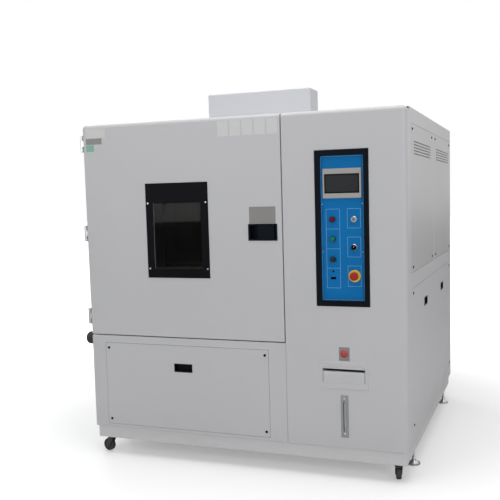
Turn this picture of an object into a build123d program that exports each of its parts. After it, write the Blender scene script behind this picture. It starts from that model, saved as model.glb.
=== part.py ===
"""Floor-standing environmental test chamber: insulated cabinet, hinged door, control column.

Millimetres. While it is being drawn, x runs from the left side, y from the front face
towards the rear and z from the floor. The finished pieces are moved so that the origin
is the middle of the footprint, on the floor.
"""
from build123d import *
from math import cos, pi, sin
import os

# Cabinet outline
WIDTH = 1776.0
DEPTH = 1720.0
BODY_HEIGHT = 1680.0
BODY_BASE = 165.0
SHEET = 2.0
TOP_EDGE_R = 22.0
FRONT_EDGE_R = 10.0
COLUMN_EDGE_R = 24.0
SMALL_EDGE_R = 3.0
DOOR_RADII = (TOP_EDGE_R, FRONT_EDGE_R, SMALL_EDGE_R)

# Plinth, a folded pan with an inward flange along its underside
PLINTH_HEIGHT = 68.0
PLINTH_INSET = 12.0
PLINTH_SHEET = 4.0
SKIN_RETURN = 40.0
FLANGE_OVERLAP = 18.0
PLINTH_FLANGE = 100.0
FLOOR_SHEET = 3.0

# Door and the gaps round it
DOOR_WIDTH = 1147.0
DOOR_BOTTOM = 692.0
DOOR_THICK = 64.0
DOOR_GAP = 6.0
PLUG_DEPTH = 46.0
PLUG_GAP = 6.0
SEAL_GAP = 6.0
SEAL_CLEAR = 0.3
SEAL_WIDTH = 22.0
SEAL_TO_PLUG = 8.0
SEAL_BEVEL = 2.0

# Chamber
CHAMBER_WIDTH = 1000.0
CHAMBER_HEIGHT = 1000.0
CHAMBER_DEPTH = 1370.0
LINER = 2.0
REAR_FOAM = 96.0
DUCT_DEPTH = 260.0
BAFFLE = 2.0
BAFFLE_RETURN = 16.0
BAFFLE_SLOT = (70.0, 18.0)
BAFFLE_SLOT_PITCH = (92.0, 34.0)
BAFFLE_SLOT_COUNT = (9, 3)
BAFFLE_SLOT_EDGE = 60.0

# Shelves on ledges carried by upright posts
POST = (24.0, 8.0)
POST_HEIGHT = 900.0
POST_SETBACK = 130.0
POST_SPACING = 720.0
LEDGE = (14.0, 3.0)
LEDGE_OVERHANG = 40.0
SHELF_HEIGHTS = (310.0, 650.0)
SHELF_DEPTH = 860.0
SHELF_SIDE_GAP = 4.0
SHELF_BAR = 9.0
SHELF_WIRE_R = 2.5
SHELF_WIRES = 13
WIRE_SINK = 1.0

# Window in the door
WINDOW_LEFT = 421.0
WINDOW_BOTTOM = 1065.0
WINDOW_SIZE = (278.0, 346.0)
WINDOW_FRAME_EDGES = (44.0, 44.0, 52.0, 107.0)
WINDOW_FRAME_PROUD = 3.0
WINDOW_REBATE = 14.0
PANE = 6.0

# Door latch
LATCH_LEFT = 964.0
LATCH_BOTTOM = 1210.0
LATCH_SIZE = (158.0, 86.0)
LATCH_PROUD = 3.0
LATCH_DEPTH = 34.0
LATCH_RIM = 8.0
LATCH_WALL = 3.0
PADDLE_WIDTH = 88.0
PADDLE_THICK = 7.0
PADDLE_EDGE_R = 2.8
PADDLE_GAP = 1.5
PADDLE_PIN_INSET = 13.0
PADDLE_TAIL = 3.0
PADDLE_SETBACK = 1.0
PADDLE_PIN_R = 3.0
PADDLE_BOSS_R = 6.0
PADDLE_PIN_DEPTH = 9.0

# Door hinges
HINGE_LEVELS = (789.0, 1254.0, 1747.0)
HINGE_HEIGHT = 90.0
HINGE_STANDOFF = 20.0
HINGE_SETBACK = 24.0
HINGE_KNUCKLE_R = 10.0
HINGE_PIN_R = 4.0
HINGE_MIDDLE = 30.0
HINGE_LEAF = 5.0
HINGE_LEAF_LENGTH = 52.0
HINGE_ARM = 11.0
HINGE_CLEAR = 0.3

# Running fit of every pin and shaft, on the radius
RUNNING = 0.05

# Control panel
BEZEL_LEFT = 1322.0
BEZEL_BOTTOM = 883.0
BEZEL_SIZE = (271.0, 769.0)
BEZEL_RIM = 26.0
BEZEL_FOOT = 28.0
BEZEL_PROUD = 4.0
BEZEL_LIP = 8.0
PLATE_SETBACK = 12.0
PLATE = 2.0
HMI_SIZE = (194.0, 145.0)
HMI_BOTTOM = 1416.0
HMI_PROUD = 7.0
HMI_BODY = (172.0, 124.0, 46.0)
SCREEN_SIZE = (176.0, 95.0)
SCREEN_RAISE = 24.0
SCREEN = 2.0
SIGNAL_COLUMN = 1407.0
SIGNAL_LEVELS = (1313.0, 1217.0, 1116.0)
SIGNAL_R = 15.0
SIGNAL_HEIGHT = 9.0
SIGNAL_LENS_R = 12.0
SIGNAL_LENS_HEIGHT = 5.0
SIGNAL_DOME_R = 3.5
BARREL_R = 11.0
BARREL_LENGTH = 42.0
HOLE_CLEAR = 0.3
PORT_LEVELS = (1056.0, 1022.0)
PORT_R = 5.0
PORT_SLOT = (26.0, 12.0)
SWITCH_COLUMN = 1515.0
KEY_LEVEL = 1312.0
SELECTOR_LEVEL = 1175.0
ESTOP_LEVEL = 1034.0
SWITCH_R = 16.0
SWITCH_HEIGHT = 9.0
TURN_R = 8.0
KEY_SLOT = (2.2, 9.0, 6.0)
KNOB_R = 13.0
KNOB_HEIGHT = 4.0
KNOB_GRIP = (8.0, 23.0, 14.0)
COLLAR_R = 30.0
COLLAR_HEIGHT = 4.0
ESTOP_STEM_R = 7.0
ESTOP_HEAD_R = 21.0
ESTOP_HEAD_HEIGHT = 15.0
ESTOP_TRAVEL = 6.0
ESTOP_STANDOFF = 13.0

# Water drawer
DRAWER_LEFT = 1331.0
DRAWER_BOTTOM = 467.0
DRAWER_FRAME = (247.0, 136.0)
DRAWER_FRAME_PROUD = 3.0
DRAWER_RIM = 15.0
DRAWER_FOOT = 29.0
DRAWER_HEAD = 20.0
DRAWER_LIP = 15.0
DRAWER_FINGER_GAP = 13.0
DRAWER_FRONT = 14.0
DRAWER_WALL = 2.5
DRAWER_LENGTH = 250.0
DRAWER_SIDE_CLEAR = 0.6
DRAWER_FRONT_CLEAR = 2.5
DRAWER_FRONT_PROUD = 2.0
DRAWER_REAR_CLEAR = 8.0
DRAWER_NOSE_R = 12.0
DRAWER_FLOOR_CLEAR = 0.3
DRAWER_TRAY_HEIGHT = 50.0
SLEEVE = 2.0

# Level gauge plate
GAUGE_LEFT = 1437.0
GAUGE_BOTTOM = 219.0
GAUGE_SIZE = (39.0, 218.0)
GAUGE_PROUD = 2.5
GAUGE_SLOT = (13.0, 150.0)
GAUGE_TUBE_R = 5.0
GAUGE_TUBE_SETBACK = 8.0
GAUGE_STUB_R = 4.0

# Removable panels
ACCESS_LEFT = 88.0
ACCESS_BOTTOM = 184.0
ACCESS_SIZE = (968.0, 461.0)
PANEL_GAP = 1.5
PANEL_RETURN = 15.0
PANEL_LEDGE = 55.0
SIDE_PANEL_FRONT = 118.0
SIDE_PANEL_WIDTH = 760.0
SIDE_PANEL_SPACING = 812.0
UPPER_PANEL_BOTTOM = 1041.0
UPPER_PANEL_HEIGHT = 729.0
LOWER_PANEL_BOTTOM = 236.0
LOWER_PANEL_HEIGHT = 724.0
VENT_SLOT = (44.0, 6.0)
VENT_PITCH = (58.0, 15.0)
VENT_COUNT = (10, 5)
VENT_DROP = 113.0
SCREW_R = 7.0
SCREW_HEAD = 3.0
SCREW_SHANK_R = 3.0
SCREW_SHANK = 20.0
ACCESS_SCREW_INSET = (20.0, 28.0)
SIDE_SCREW_INSET = (45.0, 25.0)

# Recessed pulls of the panels
PULL_SIZE = (108.0, 46.0)
PULL_RIM = 5.0
PULL_PROUD = 1.5
PULL_DEPTH = 22.0
PULL_WALL = 2.0
PULL_CLEAR = 0.5
ACCESS_PULL = (565.0, 524.0)
SIDE_PULLS = (579.0, 1263.0)
SIDE_PULL_LEVEL = 841.0

# Circulation fans in the roof cover
COVER_SIZE = (732.0, 182.0, 293.0)
COVER_FRONT = 1220.0
COVER_FLANGE = 18.0
COVER_EDGE_R = 8.0
COVER_SLOT = (60.0, 7.0)
COVER_SLOT_PITCH = (84.0, 22.0)
COVER_SLOT_COUNT = (7, 4)
FAN_SPACING = 380.0
MOTOR_R = 64.0
MOTOR_HEIGHT = 210.0
MOTOR_FLANGE_R = 80.0
MOTOR_FLANGE = 8.0
MOTOR_BORE_DEPTH = 60.0
SHAFT_END_GAP = 6.0
SHAFT_R = 8.0
SHAFT_HOLE_R = 22.0
WHEEL_R = 112.0
WHEEL_INNER_R = 72.0
WHEEL_HEIGHT = 64.0
WHEEL_PLATE = 3.0
WHEEL_HUB_R = 22.0
WHEEL_HUB_HEIGHT = 30.0
WHEEL_DROP = 45.0
WHEEL_BLADES = 16
WHEEL_BLADE = 2.0
WHEEL_BLADE_LEAN = 35.0
WHEEL_BLADE_BELLY = 0.35

# Evaporator and heater in the duct
COIL_SIZE = (820.0, 150.0, 330.0)
COIL_RISE = 110.0
COIL_FINS = 28
COIL_FIN = 3.0
COIL_GROOVE = 14.0
COIL_BRACKET = 30.0
HEATER_ROD_R = 6.0
HEATER_BEND_R = 30.0
HEATER_LENGTH = 620.0
HEATER_LEVELS = (1330.0, 1450.0)
HEATER_BRACKET = (20.0, 12.0, 90.0)

# Machine bay
COMPRESSOR_R = 115.0
COMPRESSOR_HEIGHT = 330.0
COMPRESSOR_DOME = 60.0
COMPRESSOR_FOOT = (270.0, 200.0, 12.0)
COMPRESSOR_X = (300.0, 760.0)
COMPRESSOR_Y = 480.0
CONDENSER_SIZE = (620.0, 110.0, 440.0)
CONDENSER_REAR = 1612.0
CONDENSER_FINS = 24
CONDENSER_FIN = 4.0
CONDENSER_GROOVE = 30.0
SHROUD_R = 190.0
SHROUD_WALL = 3.0
SHROUD_LENGTH = 60.0
FAN_MOTOR_R = 38.0
FAN_MOTOR_LENGTH = 30.0
FAN_MOTOR_ARM = 12.0
FAN_SHAFT_R = 6.0
FAN_R = 180.0
FAN_HUB_R = 42.0
FAN_HUB_LENGTH = 26.0
FAN_ROOT = 4.0
FAN_BLADES = 5
FAN_BLADE = 3.0
FAN_BLADE_CHORD = 90.0
FAN_BLADE_PITCH = 28.0
GRILLE_SLOT = (150.0, 9.0)
GRILLE_PITCH = (170.0, 34.0)
GRILLE_COUNT = (3, 12)
TANK_SIZE = (250.0, 380.0, 285.0)
TANK_SETBACK = 8.0
TANK_EDGE_R = 12.0
GEAR_PLATE = (3.0, 900.0, 780.0)
GEAR_PLATE_FRONT = 330.0
GEAR_PLATE_BOTTOM = 940.0
GEAR_ROWS = ((70.0, 90.0, 84.0, 8), (60.0, 130.0, 60.0, 5), (45.0, 50.0, 72.0, 10))
GEAR_ROW_PITCH = 230.0
GEAR_EDGE = 70.0

# Casters and levelling feet
CASTER_INSET = (62.0, 62.0)
CASTER_TURNS = (170.0, 105.0, 90.0, 90.0)
CASTER_PLATE = (92.0, 76.0, 3.0)
CASTER_LIFT = 2.0
CASTER_WHEEL_R = 35.0
CASTER_WHEEL_WIDTH = 26.0
CASTER_HUB_R = 17.0
CASTER_TREAD_R = 5.2
CASTER_HUB_RECESS = 3.0
CASTER_TRAIL = 20.0
CASTER_FORK = 3.0
CASTER_FORK_GAP = 1.5
CASTER_CROWN_CLEAR = 2.5
CASTER_LEG = 30.0
CASTER_AXLE_R = 4.0
CASTER_PIVOT_R = 6.0
CASTER_RACE_R = 22.0
CASTER_RACE = 6.0
CASTER_RACE_GAP = 0.3
FOOT_INSET = 31.0
FOOT_SETBACK = 320.0
FOOT_REAR_SETBACK = 170.0
FOOT_DISC_R = 35.0
FOOT_DISC = 8.0
FOOT_CONE_R = 14.0
FOOT_CONE = 14.0
FOOT_STEM_R = 8.0
FOOT_STEM_LENGTH = 140.0
FOOT_NUT_R = 14.0
FOOT_NUT = 12.0
FOOT_NUT_GAP = 1.0

# Cable boot on the left side
BOOT_SETBACK = 110.0
BOOT_LEVEL = 646.0
BOOT_R = 36.0
BOOT_LENGTH = 98.0
BOOT_BORE_R = 11.0
BOOT_ROUND_R = 22.0
BOOT_SPIGOT = 14.0
BOOT_SPIGOT_R = 20.0

# Places worked out from the sizes above
TOP = BODY_BASE + BODY_HEIGHT
PLINTH_BASE = BODY_BASE - PLINTH_HEIGHT
COLUMN_X = DOOR_WIDTH + DOOR_GAP
FACE_Y = DOOR_THICK + SEAL_GAP
FASCIA_TOP = DOOR_BOTTOM - DOOR_GAP
FASCIA_RIGHT = COLUMN_X - PANEL_GAP
CHAMBER_X = (DOOR_WIDTH - CHAMBER_WIDTH) / 2
CHAMBER_Z = (DOOR_BOTTOM + TOP - CHAMBER_HEIGHT) / 2
CHAMBER_REAR = FACE_Y + CHAMBER_DEPTH
CHAMBER_MID = CHAMBER_X + CHAMBER_WIDTH / 2
CHAMBER_TOP = CHAMBER_Z + CHAMBER_HEIGHT
BAFFLE_Y = CHAMBER_REAR - DUCT_DEPTH
HINGE_X = -HINGE_STANDOFF
FAN_Y = COVER_FRONT + COVER_SIZE[1] / 2
PLATE_FRONT = PLATE_SETBACK
PLATE_REAR = PLATE_SETBACK + PLATE
LEFT_REACH = BOOT_LENGTH
RIGHT_REACH = FOOT_DISC_R - FOOT_INSET
FRONT_REACH = ESTOP_STANDOFF + ESTOP_HEAD_HEIGHT - PLATE_FRONT
ORIGIN = ((WIDTH + RIGHT_REACH - LEFT_REACH) / 2, (DEPTH - FRONT_REACH) / 2)


def block(x0, x1, y0, y1, z0, z1):
    """A box given by its six faces."""
    return Pos((x0 + x1) / 2, (y0 + y1) / 2, (z0 + z1) / 2) * Box(x1 - x0, y1 - y0, z1 - z0)


def rod_x(y, z, x0, x1, r):
    return Pos((x0 + x1) / 2, y, z) * Rot(0, 90, 0) * Cylinder(r, x1 - x0)


def rod_y(x, z, y0, y1, r):
    return Pos(x, (y0 + y1) / 2, z) * Rot(90, 0, 0) * Cylinder(r, y1 - y0)


def rod_z(x, y, z0, z1, r):
    return Pos(x, y, (z0 + z1) / 2) * Cylinder(r, z1 - z0)


def edges_at(shape, axis, **places):
    """The straight edges along one axis that lie at the given x, y or z."""
    found = shape.edges().filter_by(axis)
    for name, place in places.items():
        found = found.filter_by(lambda e: abs(getattr(e.center(), name.upper()) - place) < 0.01)
    return found


def pan_form(x0, x1, z0, z1, inset, rear, radii):
    """A block drawn in by an inset, with its front top, front left and front right edges rounded."""
    shape = block(x0 + inset, x1 - inset, inset, rear, z0 + inset, z1 - inset)
    edges = ((Axis.X, {"z": z1 - inset}), (Axis.Z, {"x": x0 + inset}), (Axis.Z, {"x": x1 - inset}))
    for r, (axis, place) in zip(radii, edges):
        if r > inset:
            shape = fillet(edges_at(shape, axis, y=inset, **place), r - inset)
    return shape


def front_pan(x0, x1, z0, z1, depth, radii):
    """A sheet tray that is open to the rear; radii are those of the top, left and right front edges."""
    return pan_form(x0, x1, z0, z1, 0, depth, radii) - pan_form(x0, x1, z0, z1, SHEET, depth + SHEET, radii)


def side_panel_blank(y0, y1, z0, z1):
    """A tray with its open side inwards, flush with the right side."""
    outer = block(WIDTH - PANEL_RETURN, WIDTH, y0, y1, z0, z1)
    inner = block(WIDTH - PANEL_RETURN - SHEET, WIDTH - SHEET, y0 + SHEET, y1 - SHEET, z0 + SHEET, z1 - SHEET)
    return outer - inner


def spread(count, pitch, middle=0.0):
    """Evenly spaced places either side of a middle."""
    return [middle + (i - (count - 1) / 2) * pitch for i in range(count)]


def corner_places(inset_x, front, rear):
    """The four corners in the order front left, front right, rear left, rear right."""
    return [(inset_x, front), (WIDTH - inset_x, front), (inset_x, DEPTH - rear), (WIDTH - inset_x, DEPTH - rear)]


CASTER_POSTS = corner_places(CASTER_INSET[0], CASTER_INSET[1], CASTER_INSET[1])
FOOT_POSTS = corner_places(FOOT_INSET, FOOT_SETBACK, FOOT_REAR_SETBACK)
AXLE_LEVEL = CASTER_LIFT + CASTER_WHEEL_R
CROWN_BASE = AXLE_LEVEL + CASTER_WHEEL_R + CASTER_CROWN_CLEAR
RACE_BASE = PLINTH_BASE - CASTER_PLATE[2] - CASTER_RACE


def caster_plate(place):
    """Top plate with the upper race and the pivot of the fork."""
    x, y = place
    width, length, thick = CASTER_PLATE
    plate = block(x - width / 2, x + width / 2, y - length / 2, y + length / 2, PLINTH_BASE - thick, PLINTH_BASE)
    race = rod_z(x, y, RACE_BASE, PLINTH_BASE - thick, CASTER_RACE_R)
    return plate + race + rod_z(x, y, CROWN_BASE + CASTER_RACE_GAP, RACE_BASE, CASTER_PIVOT_R)


def caster_fork(place, turn, gap):
    """Crown and two legs that narrow to the axle, drawn trailing to +x and then turned."""
    half = CASTER_WHEEL_WIDTH / 2 + CASTER_FORK_GAP
    crown_top = CROWN_BASE + CASTER_FORK
    wide = half + CASTER_FORK
    crown = block(-CASTER_RACE_R, CASTER_RACE_R, -wide, wide, CROWN_BASE, crown_top)
    fork = crown + rod_z(0, 0, crown_top, RACE_BASE - gap, CASTER_RACE_R)
    outline = (Pos(0, (CROWN_BASE + crown_top) / 2) * Rectangle(CASTER_LEG, CASTER_FORK)).edges()
    outline += (Pos(CASTER_TRAIL, AXLE_LEVEL) * Circle(CASTER_LEG / 2 - CASTER_FORK)).edges()
    leg = extrude(Plane.XZ * make_hull(outline), CASTER_FORK)
    fork += Pos(0, -half, 0) * leg
    fork += Pos(0, wide, 0) * leg
    fork -= rod_z(0, 0, CROWN_BASE, RACE_BASE, CASTER_PIVOT_R + RUNNING)
    fork += rod_y(CASTER_TRAIL, AXLE_LEVEL, -wide, wide, CASTER_AXLE_R)
    return Pos(place[0], place[1], 0) * Rot(0, 0, turn) * fork


def caster_wheel(place, turn):
    """Wheel with a rounded tread, dished sides and a running bore."""
    half = CASTER_WHEEL_WIDTH / 2
    wheel = rod_y(CASTER_TRAIL, AXLE_LEVEL, -half, half, CASTER_WHEEL_R)
    rims = wheel.edges().filter_by(GeomType.CIRCLE)
    wheel = fillet(rims, CASTER_TREAD_R)
    dish = CASTER_WHEEL_R - CASTER_HUB_R / 2
    for side in (-1, 1):
        near, far = sorted((side * half, side * (half - CASTER_HUB_RECESS)))
        ring = rod_y(CASTER_TRAIL, AXLE_LEVEL, near, far, dish)
        wheel -= ring - rod_y(CASTER_TRAIL, AXLE_LEVEL, near, far, CASTER_HUB_R)
    wheel -= rod_y(CASTER_TRAIL, AXLE_LEVEL, -half, half, CASTER_AXLE_R + RUNNING)
    return Pos(place[0], place[1], 0) * Rot(0, 0, turn) * wheel


def plinth_sheets():
    """Top sheet, four webs and four bottom flanges, welded edge to edge."""
    x0, x1, y0, y1 = PLINTH_INSET, WIDTH - PLINTH_INSET, PLINTH_INSET, DEPTH - PLINTH_INSET
    web, lip = PLINTH_SHEET, PLINTH_FLANGE
    z0, z1 = PLINTH_BASE, BODY_BASE - FLOOR_SHEET
    floor = z0 + PLINTH_SHEET
    sheets = [block(x0, x1, y0, y1, z1, BODY_BASE),
              block(x0 + web, x1 - web, y0, y0 + web, z0, z1), block(x0 + web, x1 - web, y1 - web, y1, z0, z1),
              block(x0, x0 + web, y0, y1, z0, z1), block(x1 - web, x1, y0, y1, z0, z1),
              block(x0 + lip, x1 - lip, y0 + web, y0 + lip, z0, floor),
              block(x0 + lip, x1 - lip, y1 - lip, y1 - web, z0, floor)]
    holes = [rod_z(x, y, z0, floor, FOOT_STEM_R + RUNNING) for x, y in FOOT_POSTS]
    for a, b in ((x0 + web, x0 + lip), (x1 - lip, x1 - web)):
        sheets.append(block(a, b, y0 + web, y1 - web, z0, floor) - holes)
    return sheets


def weld_nut(place):
    floor = PLINTH_BASE + PLINTH_SHEET
    nut = rod_z(*place, floor, floor + FOOT_NUT, FOOT_NUT_R)
    return nut - rod_z(*place, floor, floor + FOOT_NUT, FOOT_STEM_R + RUNNING)


def base_frame():
    """Plinth open below inside its flanges, with weld nuts, caster plates and rear forks."""
    pieces = plinth_sheets()
    pieces += [weld_nut(place) for place in FOOT_POSTS]
    pieces += [caster_plate(place) for place in CASTER_POSTS]
    pieces += [caster_fork(CASTER_POSTS[i], CASTER_TURNS[i], 0.0) for i in (2, 3)]
    return Compound(children=pieces)


def levelling_foot(place):
    """Pressed disc, cone, jam nut and threaded stem."""
    x, y = place
    foot = rod_z(x, y, 0, FOOT_DISC, FOOT_DISC_R)
    foot += Pos(x, y, FOOT_DISC + FOOT_CONE / 2) * Cone(FOOT_DISC_R - FOOT_DISC, FOOT_CONE_R, FOOT_CONE)
    foot += rod_z(x, y, FOOT_DISC, FOOT_STEM_LENGTH, FOOT_STEM_R)
    nut = extrude(RegularPolygon(FOOT_CONE_R, 6), FOOT_NUT)
    return foot + Pos(x, y, PLINTH_BASE - FOOT_NUT_GAP - FOOT_NUT) * nut


def left_panel():
    """Left skin with the stiffening strips along its foot and its rear edge."""
    rear, foot, head = DEPTH - SHEET, BODY_BASE + SHEET, TOP - SHEET
    skin = block(0, SHEET, FACE_Y, rear, BODY_BASE, head)
    skin -= rod_x(BOOT_SETBACK, BOOT_LEVEL, 0, SHEET, BOOT_SPIGOT_R)
    foot_strip = block(SHEET, SKIN_RETURN, FACE_Y, rear, BODY_BASE, foot)
    return Compound(children=[skin, foot_strip, block(SHEET, SKIN_RETURN, rear - SHEET, rear, foot, head)])


def fan_places():
    return spread(2, FAN_SPACING, CHAMBER_MID)


def top_panel():
    skin = block(0, WIDTH, FACE_Y, DEPTH, TOP - SHEET, TOP)
    for x in fan_places():
        skin -= rod_z(x, FAN_Y, TOP - SHEET, TOP, SHAFT_HOLE_R)
    return skin


def rear_panel():
    """Rear skin with the outlet grille behind the condenser fan, and its foot strip."""
    skin = block(0, WIDTH, DEPTH - SHEET, DEPTH, BODY_BASE, TOP - SHEET)
    strip = block(SKIN_RETURN + SHEET, WIDTH - SKIN_RETURN - SHEET, DEPTH - SKIN_RETURN, DEPTH - SHEET,
                  BODY_BASE, BODY_BASE + SHEET)
    across, high = GRILLE_SLOT
    for x in spread(GRILLE_COUNT[0], GRILLE_PITCH[0], CHAMBER_MID):
        for z in spread(GRILLE_COUNT[1], GRILLE_PITCH[1], BODY_BASE + CONDENSER_SIZE[2] / 2):
            skin -= block(x - across / 2, x + across / 2, DEPTH - SHEET, DEPTH, z - high / 2, z + high / 2)
    return Compound(children=[skin, strip])


def bezel_window():
    """x0, x1, z0, z1 of the opening inside the control bezel."""
    x0, z0 = BEZEL_LEFT + BEZEL_RIM, BEZEL_BOTTOM + BEZEL_FOOT
    return x0, BEZEL_LEFT + BEZEL_SIZE[0] - BEZEL_RIM, z0, BEZEL_BOTTOM + BEZEL_SIZE[1] - BEZEL_FOOT


def bezel_sleeve():
    x0, x1, z0, z1 = bezel_window()
    return x0 - BEZEL_LIP, x1 + BEZEL_LIP, z0 - BEZEL_LIP, z1 + BEZEL_LIP


def drawer_window():
    """x0, x1, z0, z1 of the opening inside the drawer frame."""
    return (DRAWER_LEFT + DRAWER_RIM, DRAWER_LEFT + DRAWER_FRAME[0] - DRAWER_RIM,
            DRAWER_BOTTOM + DRAWER_FOOT, DRAWER_BOTTOM + DRAWER_FRAME[1] - DRAWER_HEAD)


def gauge_middle():
    return GAUGE_LEFT + GAUGE_SIZE[0] / 2, GAUGE_BOTTOM + GAUGE_SIZE[1] / 2


def column_front():
    """Front of the control column, folded round the right corner and over the top."""
    skin = front_pan(COLUMN_X, WIDTH, BODY_BASE, TOP, FACE_Y, (TOP_EDGE_R, 0, COLUMN_EDGE_R))
    x0, x1, z0, z1 = bezel_sleeve()
    skin -= block(x0, x1, 0, SHEET, z0, z1)
    x0, x1, z0, z1 = drawer_window()
    skin -= block(x0 - SLEEVE, x1 + SLEEVE, 0, SHEET, z0 - SLEEVE, z1 + SLEEVE)
    x, z = gauge_middle()
    half, tall = GAUGE_SLOT[0] / 2 + GAUGE_PROUD, GAUGE_SLOT[1] / 2 + GAUGE_PROUD
    return skin - block(x - half, x + half, 0, SHEET, z - tall, z + tall)


def side_openings():
    """y0, y1, z0, z1 of the two upper panels and the lower one."""
    first, second = SIDE_PANEL_FRONT, SIDE_PANEL_FRONT + SIDE_PANEL_SPACING
    last = second + SIDE_PANEL_WIDTH
    upper = UPPER_PANEL_BOTTOM + UPPER_PANEL_HEIGHT
    return [(first, first + SIDE_PANEL_WIDTH, UPPER_PANEL_BOTTOM, upper),
            (second, last, UPPER_PANEL_BOTTOM, upper),
            (first, last, LOWER_PANEL_BOTTOM, LOWER_PANEL_BOTTOM + LOWER_PANEL_HEIGHT)]


def side_frame():
    """Right side skin with a rebated opening for each removable panel."""
    skin = block(WIDTH - SKIN_RETURN, WIDTH, FACE_Y, DEPTH - SHEET, BODY_BASE, TOP - SHEET)
    skin -= block(WIDTH - SKIN_RETURN, WIDTH - SHEET, FACE_Y, DEPTH - 2 * SHEET, BODY_BASE + SHEET, TOP - SHEET)
    ledge_x = WIDTH - PANEL_RETURN
    gap, wall, inner = PANEL_GAP, PANEL_GAP + SHEET, PANEL_LEDGE
    for outline in side_openings():
        y0, y1, z0, z1 = outline
        skin += block(ledge_x - SHEET, WIDTH, y0 - wall, y1 + wall, z0 - wall, z1 + wall)
        skin -= block(ledge_x, WIDTH, y0 - gap, y1 + gap, z0 - gap, z1 + gap)
        skin -= block(ledge_x - SHEET, ledge_x, y0 + inner, y1 - inner, z0 + inner, z1 - inner)
        skin = drilled_side(skin, outline)
    return skin


def side_screw_places(y0, y1, z0, z1):
    dy, dz = SIDE_SCREW_INSET
    return [(y, z) for y in (y0 + dy, y1 - dy) for z in (z0 + dz, z1 - dz)]


def upper_side_panel(y0, y1, z0, z1):
    """Vented panel: rows of short slots below the top edge."""
    panel = side_panel_blank(y0, y1, z0, z1)
    long, high = VENT_SLOT
    for y in spread(VENT_COUNT[0], VENT_PITCH[0], (y0 + y1) / 2):
        for z in spread(VENT_COUNT[1], VENT_PITCH[1], z1 - VENT_DROP):
            panel -= block(WIDTH - SHEET, WIDTH, y - long / 2, y + long / 2, z - high / 2, z + high / 2)
    return panel


def drilled_side(sheet, outline):
    """Holes for the screws of one side panel."""
    screws = [rod_x(y, z, WIDTH - SCREW_SHANK, WIDTH, SCREW_SHANK_R) for y, z in side_screw_places(*outline)]
    return sheet - screws


def upper_side_panels():
    return Compound(children=[drilled_side(upper_side_panel(*o), o) for o in side_openings()[:2]])


def lower_side_panel():
    outline = side_openings()[2]
    panel = drilled_side(side_panel_blank(*outline), outline)
    half_y, half_z = pull_hole()
    z0, z1 = SIDE_PULL_LEVEL - half_z, SIDE_PULL_LEVEL + half_z
    return panel - [block(WIDTH - SHEET, WIDTH, y - half_y, y + half_y, z0, z1) for y in SIDE_PULLS]


def pull_hole():
    """Half width and half height of the hole for a recessed pull."""
    return tuple(side / 2 - PULL_RIM + PULL_WALL + PULL_CLEAR for side in PULL_SIZE)


def access_outline():
    return ACCESS_LEFT, ACCESS_LEFT + ACCESS_SIZE[0], ACCESS_BOTTOM, ACCESS_BOTTOM + ACCESS_SIZE[1]


def access_screw_places():
    x0, x1, z0, z1 = access_outline()
    dx, dz = ACCESS_SCREW_INSET
    return [(x, z) for x in (x0 + dx, x1 - dx) for z in (z0 + dz, z1 - dz)]


def drilled_front(sheet):
    """Holes for the screws of the access panel."""
    return sheet - [rod_y(x, z, 0, SCREW_SHANK, SCREW_SHANK_R) for x, z in access_screw_places()]


def lower_fascia():
    """Front skin below the door, with a rebated opening for the access panel."""
    skin = front_pan(0, FASCIA_RIGHT, BODY_BASE, FASCIA_TOP, FACE_Y, (SMALL_EDGE_R, FRONT_EDGE_R, 0))
    x0, x1, z0, z1 = access_outline()
    gap, wall, inner = PANEL_GAP, PANEL_GAP + SHEET, PANEL_LEDGE
    skin += block(x0 - wall, x1 + wall, 0, PANEL_RETURN + SHEET, z0 - wall, z1 + wall)
    skin -= block(x0 - gap, x1 + gap, 0, PANEL_RETURN, z0 - gap, z1 + gap)
    skin -= block(x0 + inner, x1 - inner, PANEL_RETURN, PANEL_RETURN + SHEET, z0 + inner, z1 - inner)
    return drilled_front(skin)


def front_access_panel():
    x0, x1, z0, z1 = access_outline()
    panel = block(x0, x1, 0, PANEL_RETURN, z0, z1)
    panel -= block(x0 + SHEET, x1 - SHEET, SHEET, PANEL_RETURN, z0 + SHEET, z1 - SHEET)
    half_x, half_z = pull_hole()
    x, z = ACCESS_PULL
    return drilled_front(panel - block(x - half_x, x + half_x, 0, SHEET, z - half_z, z + half_z))


def finger_pull():
    """Rectangular dish with a raised rim, facing -y about the origin."""
    half_x, half_z = PULL_SIZE[0] / 2, PULL_SIZE[1] / 2
    wall = PULL_RIM - PULL_WALL
    rim = block(-half_x, half_x, -PULL_PROUD, 0, -half_z, half_z)
    rim = chamfer(rim.faces().sort_by(Axis.Y)[0].edges(), PULL_PROUD / 2)
    cup = block(-half_x + wall, half_x - wall, 0, PULL_DEPTH, -half_z + wall, half_z - wall)
    hollow = block(-half_x + PULL_RIM, half_x - PULL_RIM, -PULL_PROUD, PULL_DEPTH - PULL_WALL,
                   -half_z + PULL_RIM, half_z - PULL_RIM)
    return rim + cup - hollow


def finger_pulls():
    pulls = [Pos(ACCESS_PULL[0], 0, ACCESS_PULL[1]) * finger_pull()]
    for y in SIDE_PULLS:
        pulls.append(Pos(WIDTH, y, SIDE_PULL_LEVEL) * Rot(0, 0, 90) * finger_pull())
    return Compound(children=pulls)


def panel_screw():
    """Low round head and shank, facing -y about the origin."""
    head = rod_y(0, 0, -SCREW_HEAD, 0, SCREW_R)
    head = chamfer(head.faces().sort_by(Axis.Y)[0].edges(), SCREW_HEAD / 2)
    return head + rod_y(0, 0, 0, SCREW_SHANK, SCREW_SHANK_R)


def panel_screws():
    screws = [Pos(x, 0, z) * panel_screw() for x, z in access_screw_places()]
    for outline in side_openings():
        for y, z in side_screw_places(*outline):
            screws.append(Pos(WIDTH, y, z) * Rot(0, 0, 90) * panel_screw())
    return Compound(children=screws)


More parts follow.
